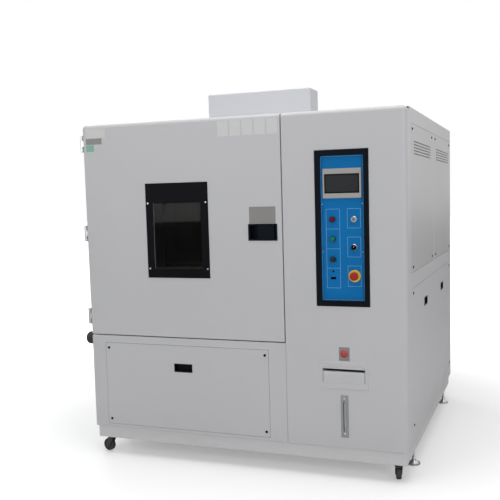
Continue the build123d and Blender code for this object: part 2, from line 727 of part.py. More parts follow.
def cable_boot():
    """Domed rubber boot on the left side with a bore for the supply cable."""
    y, z = BOOT_SETBACK, BOOT_LEVEL
    boot = rod_x(y, z, -BOOT_LENGTH, 0, BOOT_R)
    boot = fillet(boot.faces().sort_by(Axis.X)[0].edges(), BOOT_ROUND_R)
    boot += rod_x(y, z, 0, BOOT_SPIGOT, BOOT_SPIGOT_R)
    return boot - rod_x(y, z, -BOOT_LENGTH, BOOT_SPIGOT, BOOT_BORE_R)


def chamber_block(grow, y0, y1):
    """The chamber's inside, grown by a wall on four sides, between two depths."""
    return block(CHAMBER_X - grow, CHAMBER_X + CHAMBER_WIDTH + grow, y0, y1,
                 CHAMBER_Z - grow, CHAMBER_TOP + grow)


def shaft_holes(z0, z1):
    return [rod_z(x, FAN_Y, z0, z1, SHAFT_HOLE_R) for x in fan_places()]


def insulation():
    """Foam round the chamber, with the two shaft holes through its roof."""
    rear = CHAMBER_REAR + LINER
    foam = block(SHEET, DOOR_WIDTH, FACE_Y + LINER, rear + REAR_FOAM, DOOR_BOTTOM, TOP - SHEET)
    foam -= chamber_block(LINER, FACE_Y, rear)
    return foam - shaft_holes(CHAMBER_TOP, TOP)


def shelf_ledge(z, side):
    """Angle ledge across two posts; side is 1 on the left wall and -1 on the right."""
    y0 = FACE_Y + POST_SETBACK - LEDGE_OVERHANG
    y1 = FACE_Y + POST_SETBACK + POST_SPACING + LEDGE_OVERHANG
    wide, thick = LEDGE
    wall = CHAMBER_X if side > 0 else CHAMBER_X + CHAMBER_WIDTH
    a = wall + side * POST[1]
    flat = block(min(a, a + side * wide), max(a, a + side * wide), y0, y1, z - thick, z)
    web = block(min(a, a + side * thick), max(a, a + side * thick), y0, y1, z - wide - thick, z - thick)
    return flat + web


def liner_sheets():
    """Five stainless sheets and the four strips of the front flange, welded edge to edge."""
    x0, x1 = CHAMBER_X, CHAMBER_X + CHAMBER_WIDTH
    z0, z1 = CHAMBER_Z, CHAMBER_TOP
    front, rear = FACE_Y + LINER, CHAMBER_REAR
    roof = block(x0, x1, front, rear, z1, z1 + LINER) - shaft_holes(z1, z1 + LINER)
    sheets = [roof, block(x0, x1, front, rear, z0 - LINER, z0),
              block(x0 - LINER, x1 + LINER, rear, rear + LINER, z0 - LINER, z1 + LINER)]
    sheets += [block(a, a + LINER, front, rear, z0 - LINER, z1 + LINER) for a in (x0 - LINER, x1)]
    foot, head = FASCIA_TOP - FLANGE_OVERLAP, TOP - SHEET
    sheets += [block(a, b, FACE_Y, front, foot, head) for a, b in ((SHEET, x0), (x1, COLUMN_X + FLANGE_OVERLAP))]
    sheets += [block(x0, x1, FACE_Y, front, a, b) for a, b in ((foot, z0), (z1, head))]
    return sheets


def liner():
    """Stainless inner box and its front flange, with the shelf posts and ledges."""
    pieces = liner_sheets()
    across, thick = POST
    z0 = CHAMBER_Z + (CHAMBER_HEIGHT - POST_HEIGHT) / 2
    for wall in (CHAMBER_X, CHAMBER_X + CHAMBER_WIDTH - thick):
        for y in (FACE_Y + POST_SETBACK, FACE_Y + POST_SETBACK + POST_SPACING):
            pieces.append(block(wall, wall + thick, y - across / 2, y + across / 2, z0, z0 + POST_HEIGHT))
    for height in SHELF_HEIGHTS:
        pieces += [shelf_ledge(CHAMBER_Z + height, side) for side in (1, -1)]
    return Compound(children=pieces)


def wire_shelf(z):
    """Frame of bars with round wires let into its top."""
    x0 = CHAMBER_X + POST[1] + SHELF_SIDE_GAP
    x1 = CHAMBER_X + CHAMBER_WIDTH - POST[1] - SHELF_SIDE_GAP
    middle = FACE_Y + POST_SETBACK + POST_SPACING / 2
    y0, y1 = middle - SHELF_DEPTH / 2, middle + SHELF_DEPTH / 2
    shelf = block(x0, x1, y0, y1, z, z + SHELF_BAR)
    shelf -= block(x0 + SHELF_BAR, x1 - SHELF_BAR, y0 + SHELF_BAR, y1 - SHELF_BAR, z, z + SHELF_BAR)
    wire_z = z + SHELF_BAR + SHELF_WIRE_R - WIRE_SINK
    pitch = (x1 - x0) / (SHELF_WIRES + 1)
    wires = [rod_y(x, wire_z, y0, y1, SHELF_WIRE_R) for x in spread(SHELF_WIRES, pitch, (x0 + x1) / 2)]
    return shelf + wires


def wire_shelves():
    return Compound(children=[wire_shelf(CHAMBER_Z + height) for height in SHELF_HEIGHTS])


def air_baffle():
    """Plate in front of the duct, slotted at the top for the outlet and below for the return."""
    x0, x1 = CHAMBER_X, CHAMBER_X + CHAMBER_WIDTH
    y, rear = BAFFLE_Y, BAFFLE_Y + BAFFLE
    plate = block(x0, x1, y, rear, CHAMBER_Z, CHAMBER_TOP)
    sides = [block(a, a + BAFFLE, rear, y + BAFFLE_RETURN, CHAMBER_Z, CHAMBER_TOP) for a in (x0, x1 - BAFFLE)]
    long, high = BAFFLE_SLOT
    rise = BAFFLE_SLOT_EDGE + BAFFLE_SLOT_PITCH[1]
    for middle in (CHAMBER_Z + rise, CHAMBER_TOP - rise):
        for x in spread(BAFFLE_SLOT_COUNT[0], BAFFLE_SLOT_PITCH[0], CHAMBER_MID):
            for z in spread(BAFFLE_SLOT_COUNT[1], BAFFLE_SLOT_PITCH[1], middle):
                plate -= block(x - long / 2, x + long / 2, y, rear, z - high / 2, z + high / 2)
    return Compound(children=[plate] + sides)


def fin_pack(width, depth, height, count, fin, groove):
    """A block whose front is cut into upright fins, its rear face at y 0 and its foot at z 0."""
    pack = block(-width / 2, width / 2, -depth, 0, 0, height)
    pitch = width / count
    slots = [block(x - (pitch - fin) / 2, x + (pitch - fin) / 2, -depth, groove - depth, 0, height)
             for x in spread(count - 1, pitch)]
    return pack - slots


def evaporator():
    """Finned cooling coil on two brackets against the chamber's rear wall."""
    width, depth, height = COIL_SIZE
    rear, foot = CHAMBER_REAR - COIL_BRACKET, CHAMBER_Z + COIL_RISE
    pieces = [Pos(CHAMBER_MID, rear, foot) * fin_pack(width, depth, height, COIL_FINS, COIL_FIN, COIL_GROOVE)]
    for x in spread(2, width - COIL_BRACKET, CHAMBER_MID):
        pieces.append(block(x - COIL_BRACKET / 2, x + COIL_BRACKET / 2, rear, CHAMBER_REAR, foot, foot + height))
    return Compound(children=pieces)


def heater_element(z):
    """Hairpin rod out of a terminal block on the chamber's left wall."""
    y = (BAFFLE_Y + CHAMBER_REAR) / 2
    wide, thick, long = HEATER_BRACKET
    x0 = CHAMBER_X + wide
    x1 = x0 + HEATER_LENGTH
    path = Wire([Line((x0, y - HEATER_BEND_R, z), (x1, y - HEATER_BEND_R, z)),
                 ThreePointArc((x1, y - HEATER_BEND_R, z), (x1 + HEATER_BEND_R, y, z), (x1, y + HEATER_BEND_R, z)),
                 Line((x1, y + HEATER_BEND_R, z), (x0, y + HEATER_BEND_R, z))])
    rod = sweep(Plane((x0, y - HEATER_BEND_R, z), z_dir=(1, 0, 0)) * Circle(HEATER_ROD_R), path=path)
    return [rod, block(CHAMBER_X, x0, y - long / 2, y + long / 2, z - thick, z + thick)]


def heater():
    return Compound(children=[piece for z in HEATER_LEVELS for piece in heater_element(z)])


def cover_form(inset):
    """The roof cover's block drawn in by an inset, with rounded upright and top edges."""
    width, depth, height = COVER_SIZE
    x, y0, y1 = width / 2 - inset, COVER_FRONT + inset, COVER_FRONT + depth - inset
    form = block(CHAMBER_MID - x, CHAMBER_MID + x, y0, y1, TOP, TOP + height - inset)
    return fillet(form.edges().filter_by(Axis.Z) + form.faces().sort_by(Axis.Z)[-1].edges(), COVER_EDGE_R - inset)


def cover_sheets(whole):
    """The cover's five sheets, parted along the mitre of each folded edge."""
    width, depth, height = COVER_SIZE
    r, reach = COVER_EDGE_R, COVER_EDGE_R + 2 * COVER_FLANGE
    flat_x, flat_y, side_z = width - 2 * r, depth - 2 * r, height - r + reach
    middle_y, middle_z = COVER_FRONT + depth / 2, TOP + height - r - side_z / 2
    front, rear = COVER_FRONT + r, COVER_FRONT + depth - r
    left, right = CHAMBER_MID - flat_x / 2, CHAMBER_MID + flat_x / 2
    faces = [(CHAMBER_MID, middle_y, TOP + height - r, (1, 0, 0), (0, 0, 1), flat_x, flat_y),
             (CHAMBER_MID, front, middle_z, (1, 0, 0), (0, -1, 0), flat_x, side_z),
             (CHAMBER_MID, rear, middle_z, (1, 0, 0), (0, 1, 0), flat_x, side_z),
             (left, middle_y, middle_z, (0, 1, 0), (-1, 0, 0), flat_y, side_z),
             (right, middle_y, middle_z, (0, 1, 0), (1, 0, 0), flat_y, side_z)]
    sheets = []
    for x, y, z, along, out, long, wide in faces:
        face = Plane(origin=(x, y, z), x_dir=along, z_dir=out) * Rectangle(long, wide)
        sheets += (whole & extrude(face, amount=reach, taper=-45)).solids()
    return Compound(children=sheets)


def motor_cover():
    """Sheet cover over the fan motors, open below, flanged to the roof and slotted behind."""
    x, y1 = COVER_SIZE[0] / 2 + COVER_FLANGE, COVER_FRONT + COVER_SIZE[1]
    cover = cover_form(0)
    cover += block(CHAMBER_MID - x, CHAMBER_MID + x, COVER_FRONT, y1 + COVER_FLANGE, TOP, TOP + SHEET)
    cover -= cover_form(SHEET)
    long, high = COVER_SLOT
    for x in spread(COVER_SLOT_COUNT[0], COVER_SLOT_PITCH[0], CHAMBER_MID):
        for z in spread(COVER_SLOT_COUNT[1], COVER_SLOT_PITCH[1], TOP + COVER_SIZE[2] / 2):
            cover -= block(x - long / 2, x + long / 2, y1 - SHEET, y1, z - high / 2, z + high / 2)
    return cover_sheets(cover)


def fan_motor(x):
    """Flanged motor with its shaft bore facing down."""
    motor = rod_z(x, FAN_Y, TOP + MOTOR_FLANGE, TOP + MOTOR_FLANGE + MOTOR_HEIGHT, MOTOR_R)
    motor = fillet(motor.faces().sort_by(Axis.Z)[-1].edges(), MOTOR_FLANGE)
    motor += rod_z(x, FAN_Y, TOP, TOP + MOTOR_FLANGE, MOTOR_FLANGE_R)
    return motor - rod_z(x, FAN_Y, TOP, TOP + MOTOR_BORE_DEPTH, SHAFT_R + RUNNING)


def fan_motors():
    return Compound(children=[fan_motor(x) for x in fan_places()])


def polar(r, angle):
    return r * cos(angle), r * sin(angle)


def wheel_blade(height):
    """One blade curved back from the wheel's inner edge to its rim."""
    lean = WHEEL_BLADE_LEAN * pi / 180
    middle_r = (WHEEL_INNER_R + WHEEL_R) / 2
    faces = []
    for shift in (0, WHEEL_BLADE):
        faces.append([polar(r, share * lean + shift / r) for r, share in
                      ((WHEEL_INNER_R, 0), (middle_r, WHEEL_BLADE_BELLY), (WHEEL_R - WHEEL_BLADE, 1))])
    near, far = faces
    sides = [ThreePointArc(*near), Line(near[2], far[2]), ThreePointArc(*reversed(far)), Line(far[0], near[0])]
    return extrude(make_face(Wire(sides)), height)


def fan_rotor(x):
    """Long shaft and centrifugal wheel: top plate, curved blades, lower ring and hub."""
    z1 = CHAMBER_TOP - WHEEL_DROP
    z0 = z1 - WHEEL_HEIGHT
    rotor = rod_z(0, 0, z1 - WHEEL_PLATE, z1, WHEEL_R)
    rotor += rod_z(0, 0, z0, z0 + WHEEL_PLATE, WHEEL_R) - rod_z(0, 0, z0, z0 + WHEEL_PLATE, WHEEL_INNER_R)
    blade = Pos(0, 0, z0) * wheel_blade(WHEEL_HEIGHT)
    rotor += [Rot(0, 0, i * 360 / WHEEL_BLADES) * blade for i in range(WHEEL_BLADES)]
    rotor += rod_z(0, 0, z1 - WHEEL_HUB_HEIGHT, z1, WHEEL_HUB_R)
    rotor += rod_z(0, 0, z1 - WHEEL_HUB_HEIGHT, TOP + MOTOR_BORE_DEPTH - SHAFT_END_GAP, SHAFT_R)
    return Pos(x, FAN_Y, 0) * rotor


def compressor(x):
    """Hermetic shell with a domed top on a foot plate."""
    y, z0 = COMPRESSOR_Y, BODY_BASE + COMPRESSOR_FOOT[2]
    shell = rod_z(x, y, z0, z0 + COMPRESSOR_HEIGHT, COMPRESSOR_R)
    shell = fillet(shell.faces().sort_by(Axis.Z)[-1].edges(), COMPRESSOR_DOME)
    wide, deep, thick = COMPRESSOR_FOOT
    return shell + block(x - wide / 2, x + wide / 2, y - deep / 2, y + deep / 2, BODY_BASE, BODY_BASE + thick)


def compressors():
    return Compound(children=[compressor(x) for x in COMPRESSOR_X])


def condenser_centre():
    return CHAMBER_MID, BODY_BASE + CONDENSER_SIZE[2] / 2


def condenser():
    """Finned coil, and a fan shroud with the fan's motor on a cross of arms."""
    width, depth, height = CONDENSER_SIZE
    x, z = condenser_centre()
    y = CONDENSER_REAR
    coil = Pos(x, y, BODY_BASE) * fin_pack(width, depth, height, CONDENSER_FINS, CONDENSER_FIN, CONDENSER_GROOVE)
    shroud = block(x - width / 2, x + width / 2, y, y + SHROUD_WALL, BODY_BASE, BODY_BASE + height)
    shroud += rod_y(x, z, y, y + SHROUD_LENGTH, SHROUD_R + SHROUD_WALL)
    shroud -= rod_y(x, z, y, y + SHROUD_LENGTH, SHROUD_R)
    arm, reach = FAN_MOTOR_ARM / 2, SHROUD_R + SHROUD_WALL / 2
    shroud += block(x - reach, x + reach, y, y + SHROUD_WALL, z - arm, z + arm)
    shroud += block(x - arm, x + arm, y, y + SHROUD_WALL, z - reach, z + reach)
    shroud += rod_y(x, z, y, y + FAN_MOTOR_LENGTH, FAN_MOTOR_R)
    shroud -= rod_y(x, z, y + SHROUD_WALL, y + FAN_MOTOR_LENGTH, FAN_SHAFT_R + RUNNING)
    return Compound(children=[coil, shroud])


def condenser_fan():
    """Hub, shaft and pitched blades."""
    x, z = condenser_centre()
    y0 = CONDENSER_REAR + FAN_MOTOR_LENGTH + HINGE_CLEAR
    fan = rod_y(0, 0, y0, y0 + FAN_HUB_LENGTH, FAN_HUB_R)
    root = FAN_HUB_R - FAN_ROOT
    blade = Rot(FAN_BLADE_PITCH, 0, 0) * Box(FAN_R - root, FAN_BLADE, FAN_BLADE_CHORD)
    blade = Pos((root + FAN_R) / 2, y0 + FAN_HUB_LENGTH / 2, 0) * blade
    blade &= rod_y(0, 0, CONDENSER_REAR, CONDENSER_REAR + 2 * SHROUD_LENGTH, FAN_R)
    fan += [Rot(0, i * 360 / FAN_BLADES, 0) * blade for i in range(FAN_BLADES)]
    fan += rod_y(0, 0, CONDENSER_REAR + SHROUD_WALL + HINGE_CLEAR, y0, FAN_SHAFT_R)
    return Pos(x, 0, z) * fan


def water_tank():
    """Humidifier supply tank with its level tube behind the gauge plate."""
    wide, deep, high = TANK_SIZE
    x, z = gauge_middle()
    y = FACE_Y + TANK_SETBACK
    tank = block(x - wide / 2, x + wide / 2, y, y + deep, BODY_BASE, BODY_BASE + high)
    tank = fillet(tank.edges().filter_by(Axis.Z), TANK_EDGE_R)
    reach = GAUGE_SLOT[1] / 2 + GAUGE_TUBE_R
    tube = rod_z(x, GAUGE_TUBE_SETBACK, z - reach, z + reach, GAUGE_TUBE_R)
    for end in (-1, 1):
        tube += rod_y(x, z + end * (reach - GAUGE_TUBE_R), GAUGE_TUBE_SETBACK, y, GAUGE_STUB_R)
    return tank + tube


def electrical_plate():
    """Mounting plate on the chamber's side with rows of switchgear."""
    thick, deep, high = GEAR_PLATE
    x0, x1 = DOOR_WIDTH, DOOR_WIDTH + thick
    y0, z0 = GEAR_PLATE_FRONT, GEAR_PLATE_BOTTOM
    pieces = [block(x0, x1, y0, y0 + deep, z0, z0 + high)]
    for row, (wide, out, tall, count) in enumerate(GEAR_ROWS):
        z = z0 + GEAR_EDGE + row * GEAR_ROW_PITCH
        for y in spread(count, (deep - 2 * GEAR_EDGE) / count, y0 + deep / 2):
            pieces.append(block(x1, x1 + out, y - wide / 2, y + wide / 2, z, z + tall))
    return Compound(children=pieces)


def window_outline(grow=0.0):
    """x0, x1, z0, z1 of the window opening, grown all round."""
    return (WINDOW_LEFT - grow, WINDOW_LEFT + WINDOW_SIZE[0] + grow,
            WINDOW_BOTTOM - grow, WINDOW_BOTTOM + WINDOW_SIZE[1] + grow)


def window_cut(y0, y1, grow=0.0):
    x0, x1, z0, z1 = window_outline(grow)
    return block(x0, x1, y0, y1, z0, z1)


def latch_cavity():
    """x0, x1, z0, z1 of the hollow inside the latch housing."""
    return (LATCH_LEFT + LATCH_RIM, LATCH_LEFT + LATCH_SIZE[0] - LATCH_RIM,
            LATCH_BOTTOM + LATCH_RIM, LATCH_BOTTOM + LATCH_SIZE[1] - LATCH_RIM)


def latch_cup(y0, y1):
    x0, x1, z0, z1 = latch_cavity()
    return block(x0 - LATCH_WALL, x1 + LATCH_WALL, y0, y1, z0 - LATCH_WALL, z1 + LATCH_WALL)


def plug_block(y0, y1):
    return block(CHAMBER_X + PLUG_GAP, CHAMBER_X + CHAMBER_WIDTH - PLUG_GAP, y0, y1,
                 CHAMBER_Z + PLUG_GAP, CHAMBER_TOP - PLUG_GAP)


def door_skin():
    skin = front_pan(0, DOOR_WIDTH, DOOR_BOTTOM, TOP, DOOR_THICK, DOOR_RADII)
    return skin - window_cut(0, SHEET) - latch_cup(0, SHEET)


def door_core():
    """Foam filled inner door with its stepped plug, window tunnel and latch pocket."""
    core = pan_form(0, DOOR_WIDTH, DOOR_BOTTOM, TOP, SHEET, DOOR_THICK, DOOR_RADII)
    rear = DOOR_THICK + PLUG_DEPTH
    core += plug_block(DOOR_THICK, rear)
    core -= window_cut(0, rear)
    core -= window_cut(SHEET, SHEET + PANE, WINDOW_REBATE)
    core -= window_cut(rear - PANE, rear, WINDOW_REBATE)
    return core - latch_cup(0, LATCH_DEPTH)


def window_glass():
    """Front and rear panes in their rebates."""
    rear = DOOR_THICK + PLUG_DEPTH
    return Compound(children=[window_cut(SHEET, SHEET + PANE, WINDOW_REBATE),
                              window_cut(rear - PANE, rear, WINDOW_REBATE)])


def window_frame():
    """Flat black frame with bevelled edges over the window's edge."""
    x0, x1, z0, z1 = window_outline()
    left, right, foot, head = WINDOW_FRAME_EDGES
    frame = block(x0 - left, x1 + right, -WINDOW_FRAME_PROUD, 0, z0 - foot, z1 + head)
    frame -= window_cut(-WINDOW_FRAME_PROUD, 0)
    return chamfer(frame.faces().sort_by(Axis.Y)[0].edges(), WINDOW_FRAME_PROUD / 2)


def door_gasket():
    """Seal round the plug, just short of the cabinet's flange, with a bevelled lip."""
    inner, y1 = SEAL_TO_PLUG - PLUG_GAP, FACE_Y - SEAL_CLEAR
    seal = chamber_block(inner + SEAL_WIDTH, DOOR_THICK, y1) - chamber_block(inner, DOOR_THICK, y1)
    return chamfer(seal.faces().sort_by(Axis.Y)[-1].edges(), SEAL_BEVEL)


def paddle_pin():
    """x and y of the paddle's pin."""
    return latch_cavity()[1] - PADDLE_PIN_INSET, PADDLE_PIN_DEPTH


def latch_housing():
    """Dish with a bevelled rim and the paddle's pin across it."""
    x0, x1, z0, z1 = latch_cavity()
    rim = block(LATCH_LEFT, LATCH_LEFT + LATCH_SIZE[0], -LATCH_PROUD, 0,
                LATCH_BOTTOM, LATCH_BOTTOM + LATCH_SIZE[1])
    rim = chamfer(rim.faces().sort_by(Axis.Y)[0].edges(), LATCH_PROUD / 2)
    dish = rim + latch_cup(0, LATCH_DEPTH)
    dish -= block(x0, x1, -LATCH_PROUD, LATCH_DEPTH - LATCH_WALL, z0, z1)
    x, y = paddle_pin()
    return dish + rod_z(x, y, z0, z1, PADDLE_PIN_R)


def latch_paddle():
    """Flat paddle with a boss that turns on the pin."""
    x, y = paddle_pin()
    z0, z1 = latch_cavity()[2] + PADDLE_GAP, latch_cavity()[3] - PADDLE_GAP
    front = -LATCH_PROUD + PADDLE_SETBACK
    plate = block(x + PADDLE_TAIL - PADDLE_WIDTH, x + PADDLE_TAIL, front, front + PADDLE_THICK, z0, z1)
    plate = fillet(edges_at(plate, Axis.Z, x=x + PADDLE_TAIL - PADDLE_WIDTH), PADDLE_EDGE_R)
    plate += rod_z(x, y, z0, z1, PADDLE_BOSS_R)
    plate += block(x - PADDLE_TAIL, x + PADDLE_TAIL, front, y, z0, z1)
    return plate - rod_z(x, y, z0, z1, PADDLE_PIN_R + RUNNING)


def hinge_fixed_one(z):
    """Leaf on the cabinet, arm, two outer knuckles and the pin."""
    x, y = HINGE_X, HINGE_SETBACK
    z0, z1 = z - HINGE_HEIGHT / 2, z + HINGE_HEIGHT / 2
    leaf_y = FACE_Y + HINGE_LEAF
    arm_x = x + HINGE_ARM
    leaf = block(-HINGE_LEAF, 0, leaf_y, leaf_y + HINGE_LEAF_LENGTH, z0, z1)
    piece = leaf + block(x - HINGE_KNUCKLE_R, 0, leaf_y, leaf_y + HINGE_ARM, z0, z1)
    half = HINGE_MIDDLE / 2 + HINGE_CLEAR
    for a, b in ((z0, z - half), (z + half, z1)):
        piece += block(x - HINGE_KNUCKLE_R, arm_x, y, leaf_y, a, b)
        piece += rod_z(x, y, a, b, HINGE_KNUCKLE_R)
    return piece + rod_z(x, y, z0, z1, HINGE_PIN_R)


def hinge_moving_one(z):
    """Leaf on the door's edge with the middle knuckle."""
    x, y = HINGE_X, HINGE_SETBACK
    half = HINGE_MIDDLE / 2
    leaf = block(-HINGE_LEAF, 0, y - HINGE_KNUCKLE_R, DOOR_THICK - HINGE_LEAF,
                 z - HINGE_HEIGHT / 2, z + HINGE_HEIGHT / 2)
    piece = leaf + rod_z(x, y, z - half, z + half, HINGE_KNUCKLE_R)
    piece += block(x, -HINGE_LEAF, y - HINGE_KNUCKLE_R, y + HINGE_KNUCKLE_R, z - half, z + half)
    return piece - rod_z(x, y, z - half, z + half, HINGE_PIN_R + RUNNING)


def hinges_fixed():
    return Compound(children=[hinge_fixed_one(z) for z in HINGE_LEVELS])


def hinges_moving():
    return Compound(children=[hinge_moving_one(z) for z in HINGE_LEVELS])


def control_bezel():
    """Black surround: bevelled rim outside, sleeve down to the recessed plate."""
    x0, x1, z0, z1 = bezel_window()
    rim = block(BEZEL_LEFT, BEZEL_LEFT + BEZEL_SIZE[0], -BEZEL_PROUD, 0,
                BEZEL_BOTTOM, BEZEL_BOTTOM + BEZEL_SIZE[1])
    rim = chamfer(rim.faces().sort_by(Axis.Y)[0].edges(), BEZEL_PROUD / 2)
    a0, a1, b0, b1 = bezel_sleeve()
    return rim + block(a0, a1, 0, PLATE_FRONT, b0, b1) - block(x0, x1, -BEZEL_PROUD, PLATE_FRONT, z0, z1)


def hmi_outline():
    """x0, x1, z0, z1 of the operator panel's rim."""
    x = (bezel_window()[0] + bezel_window()[1]) / 2
    return x - HMI_SIZE[0] / 2, x + HMI_SIZE[0] / 2, HMI_BOTTOM, HMI_BOTTOM + HMI_SIZE[1]


def hmi_body(y0, y1, grow=0.0):
    x0, x1, z0, z1 = hmi_outline()
    wide, high = HMI_BODY[0] / 2 + grow, HMI_BODY[1] / 2 + grow
    x, z = (x0 + x1) / 2, (z0 + z1) / 2
    return block(x - wide, x + wide, y0, y1, z - high, z + high)


def screen_block(y0, y1):
    x0, x1, z0, z1 = hmi_outline()
    x, z = (x0 + x1) / 2, z0 + SCREEN_RAISE
    return block(x - SCREEN_SIZE[0] / 2, x + SCREEN_SIZE[0] / 2, y0, y1, z, z + SCREEN_SIZE[1])


def control_plate():
    """Recessed plate with the holes of everything mounted on it."""
    x0, x1, z0, z1 = bezel_sleeve()
    plate = block(x0, x1, PLATE_FRONT, PLATE_REAR, z0, z1)
    plate -= hmi_body(PLATE_FRONT, PLATE_REAR, HOLE_CLEAR)
    holes = [(SIGNAL_COLUMN, z) for z in SIGNAL_LEVELS]
    holes += [(SWITCH_COLUMN, z) for z in (KEY_LEVEL, SELECTOR_LEVEL, ESTOP_LEVEL)]
    for x, z in holes:
        plate -= rod_y(x, z, PLATE_FRONT, PLATE_REAR, BARREL_R + HOLE_CLEAR)
    plate -= rod_y(SIGNAL_COLUMN, PORT_LEVELS[0], PLATE_FRONT, PLATE_REAR, PORT_R)
    wide, high = PORT_SLOT[0] / 2, PORT_SLOT[1] / 2
    x, z = SIGNAL_COLUMN, PORT_LEVELS[1]
    return plate - block(x - wide, x + wide, PLATE_FRONT, PLATE_REAR, z - high, z + high)


def hmi():
    """Operator panel: bevelled rim with a recess for the screen, and its body behind the plate."""
    x0, x1, z0, z1 = hmi_outline()
    front = PLATE_FRONT - HMI_PROUD
    rim = block(x0, x1, front, PLATE_FRONT, z0, z1)
    rim = chamfer(rim.faces().sort_by(Axis.Y)[0].edges(), SCREEN)
    return rim + hmi_body(PLATE_FRONT, PLATE_FRONT + HMI_BODY[2]) - screen_block(front, front + SCREEN)


def screen():
    front = PLATE_FRONT - HMI_PROUD
    return screen_block(front, front + SCREEN)


def signal_unit(z):
    """Round panel unit: bezel, lens and the barrel through the plate."""
    x, y = SIGNAL_COLUMN, PLATE_FRONT
    unit = rod_y(x, z, y - SIGNAL_HEIGHT, y, SIGNAL_R)
    lens = rod_y(x, z, y - SIGNAL_HEIGHT - SIGNAL_LENS_HEIGHT, y - SIGNAL_HEIGHT, SIGNAL_LENS_R)
    lens = fillet(lens.faces().sort_by(Axis.Y)[0].edges(), SIGNAL_DOME_R)
    return unit + lens + rod_y(x, z, y, y + BARREL_LENGTH, BARREL_R)


def signal_units():
    return Compound(children=[signal_unit(z) for z in SIGNAL_LEVELS])


def switch_ring(z):
    """Chrome ring and barrel with the bore that the turning part runs in."""
    x, y = SWITCH_COLUMN, PLATE_FRONT
    ring = rod_y(x, z, y - SWITCH_HEIGHT, y, SWITCH_R)
    ring = chamfer(ring.faces().sort_by(Axis.Y)[0].edges(), SCREEN)
    ring += rod_y(x, z, y, y + BARREL_LENGTH, BARREL_R)
    return ring - rod_y(x, z, y - SWITCH_HEIGHT, y + BARREL_LENGTH / 2, TURN_R + RUNNING)


def switch_rings():
    return Compound(children=[switch_ring(z) for z in (KEY_LEVEL, SELECTOR_LEVEL)])


def key_barrel():
    """Lock barrel with its key slot."""
    x, z, front = SWITCH_COLUMN, KEY_LEVEL, PLATE_FRONT - SWITCH_HEIGHT
    barrel = rod_y(x, z, front - HINGE_CLEAR, PLATE_FRONT + BARREL_LENGTH / 2 - HINGE_CLEAR, TURN_R)
    thick, long, deep = KEY_SLOT
    return barrel - block(x - thick / 2, x + thick / 2, front - HINGE_CLEAR, front + deep,
                          z - long / 2, z + long / 2)


def selector_knob():
    """Round base with a bar grip, on a spigot in the ring."""
    x, z, face = SWITCH_COLUMN, SELECTOR_LEVEL, PLATE_FRONT - SWITCH_HEIGHT - HINGE_CLEAR
    knob = rod_y(0, 0, face - KNOB_HEIGHT, face, KNOB_R)
    wide, long, high = KNOB_GRIP
    grip = block(-wide / 2, wide / 2, face - KNOB_HEIGHT - high, face - KNOB_HEIGHT, -long / 2, long / 2)
    knob += fillet(grip.faces().sort_by(Axis.Y)[0].edges(), wide / 4)
    knob += rod_y(0, 0, face, PLATE_FRONT + BARREL_LENGTH / 2 - HINGE_CLEAR, TURN_R)
    return Pos(x, 0, z) * Rot(0, 45, 0) * knob


def estop_collar():
    """Yellow disc and barrel that guide the stop button's stem."""
    x, z, y = SWITCH_COLUMN, ESTOP_LEVEL, PLATE_FRONT
    disc = rod_y(x, z, y - COLLAR_HEIGHT, y, COLLAR_R)
    disc = chamfer(disc.faces().sort_by(Axis.Y)[0].edges(), COLLAR_HEIGHT / 4)
    disc += rod_y(x, z, y, y + BARREL_LENGTH, BARREL_R)
    return disc - rod_y(x, z, y - COLLAR_HEIGHT, y + BARREL_LENGTH, ESTOP_STEM_R + RUNNING)


def estop_head():
    """Mushroom head and stem."""
    x, z = SWITCH_COLUMN, ESTOP_LEVEL
    y1 = PLATE_FRONT - ESTOP_STANDOFF
    y0 = y1 - ESTOP_HEAD_HEIGHT
    head = rod_y(x, z, y0, y1, ESTOP_HEAD_R)
    head = fillet(head.faces().sort_by(Axis.Y)[0].edges(), ESTOP_HEAD_HEIGHT / 2)
    return head + rod_y(x, z, y1, PLATE_FRONT + BARREL_LENGTH - ESTOP_TRAVEL, ESTOP_STEM_R)


def drawer_frame():
    """Flanged frame with a finger lip and the sleeve that the drawer slides in."""
    x0, x1, z0, z1 = drawer_window()
    rim = block(DRAWER_LEFT, DRAWER_LEFT + DRAWER_FRAME[0], -DRAWER_FRAME_PROUD, 0,
                DRAWER_BOTTOM, DRAWER_BOTTOM + DRAWER_FRAME[1])
    rim = chamfer(rim.faces().sort_by(Axis.Y)[0].edges(), DRAWER_FRAME_PROUD / 2)
    back = DRAWER_LENGTH + DRAWER_REAR_CLEAR
    frame = rim + block(x0 - SLEEVE, x1 + SLEEVE, 0, back + SLEEVE, z0 - SLEEVE, z1 + SLEEVE)
    frame -= block(x0, x1, -DRAWER_FRAME_PROUD, back, z0, z1)
    return frame + block(x0, x1, -DRAWER_FRAME_PROUD / 2, DRAWER_LIP, z1 - DRAWER_LIP, z1)


def water_drawer():
    """Tray behind a front whose upper edge rolls back into a finger grip."""
    x0, x1, z0, z1 = drawer_window()
    foot = z0 + DRAWER_FLOOR_CLEAR
    head = z1 - DRAWER_LIP - DRAWER_FINGER_GAP
    rear = DRAWER_FRONT - DRAWER_FRONT_PROUD
    front = block(x0 + DRAWER_FRONT_CLEAR, x1 - DRAWER_FRONT_CLEAR, -DRAWER_FRONT_PROUD, rear, foot, head)
    front = fillet(edges_at(front, Axis.X, y=-DRAWER_FRONT_PROUD, z=head), DRAWER_NOSE_R)
    a, b, top = x0 + DRAWER_SIDE_CLEAR, x1 - DRAWER_SIDE_CLEAR, foot + DRAWER_TRAY_HEIGHT
    tray = block(a, b, rear, DRAWER_LENGTH, foot, top)
    tray -= block(a + DRAWER_WALL, b - DRAWER_WALL, rear, DRAWER_LENGTH - DRAWER_WALL, foot + DRAWER_WALL, top)
    return front + tray


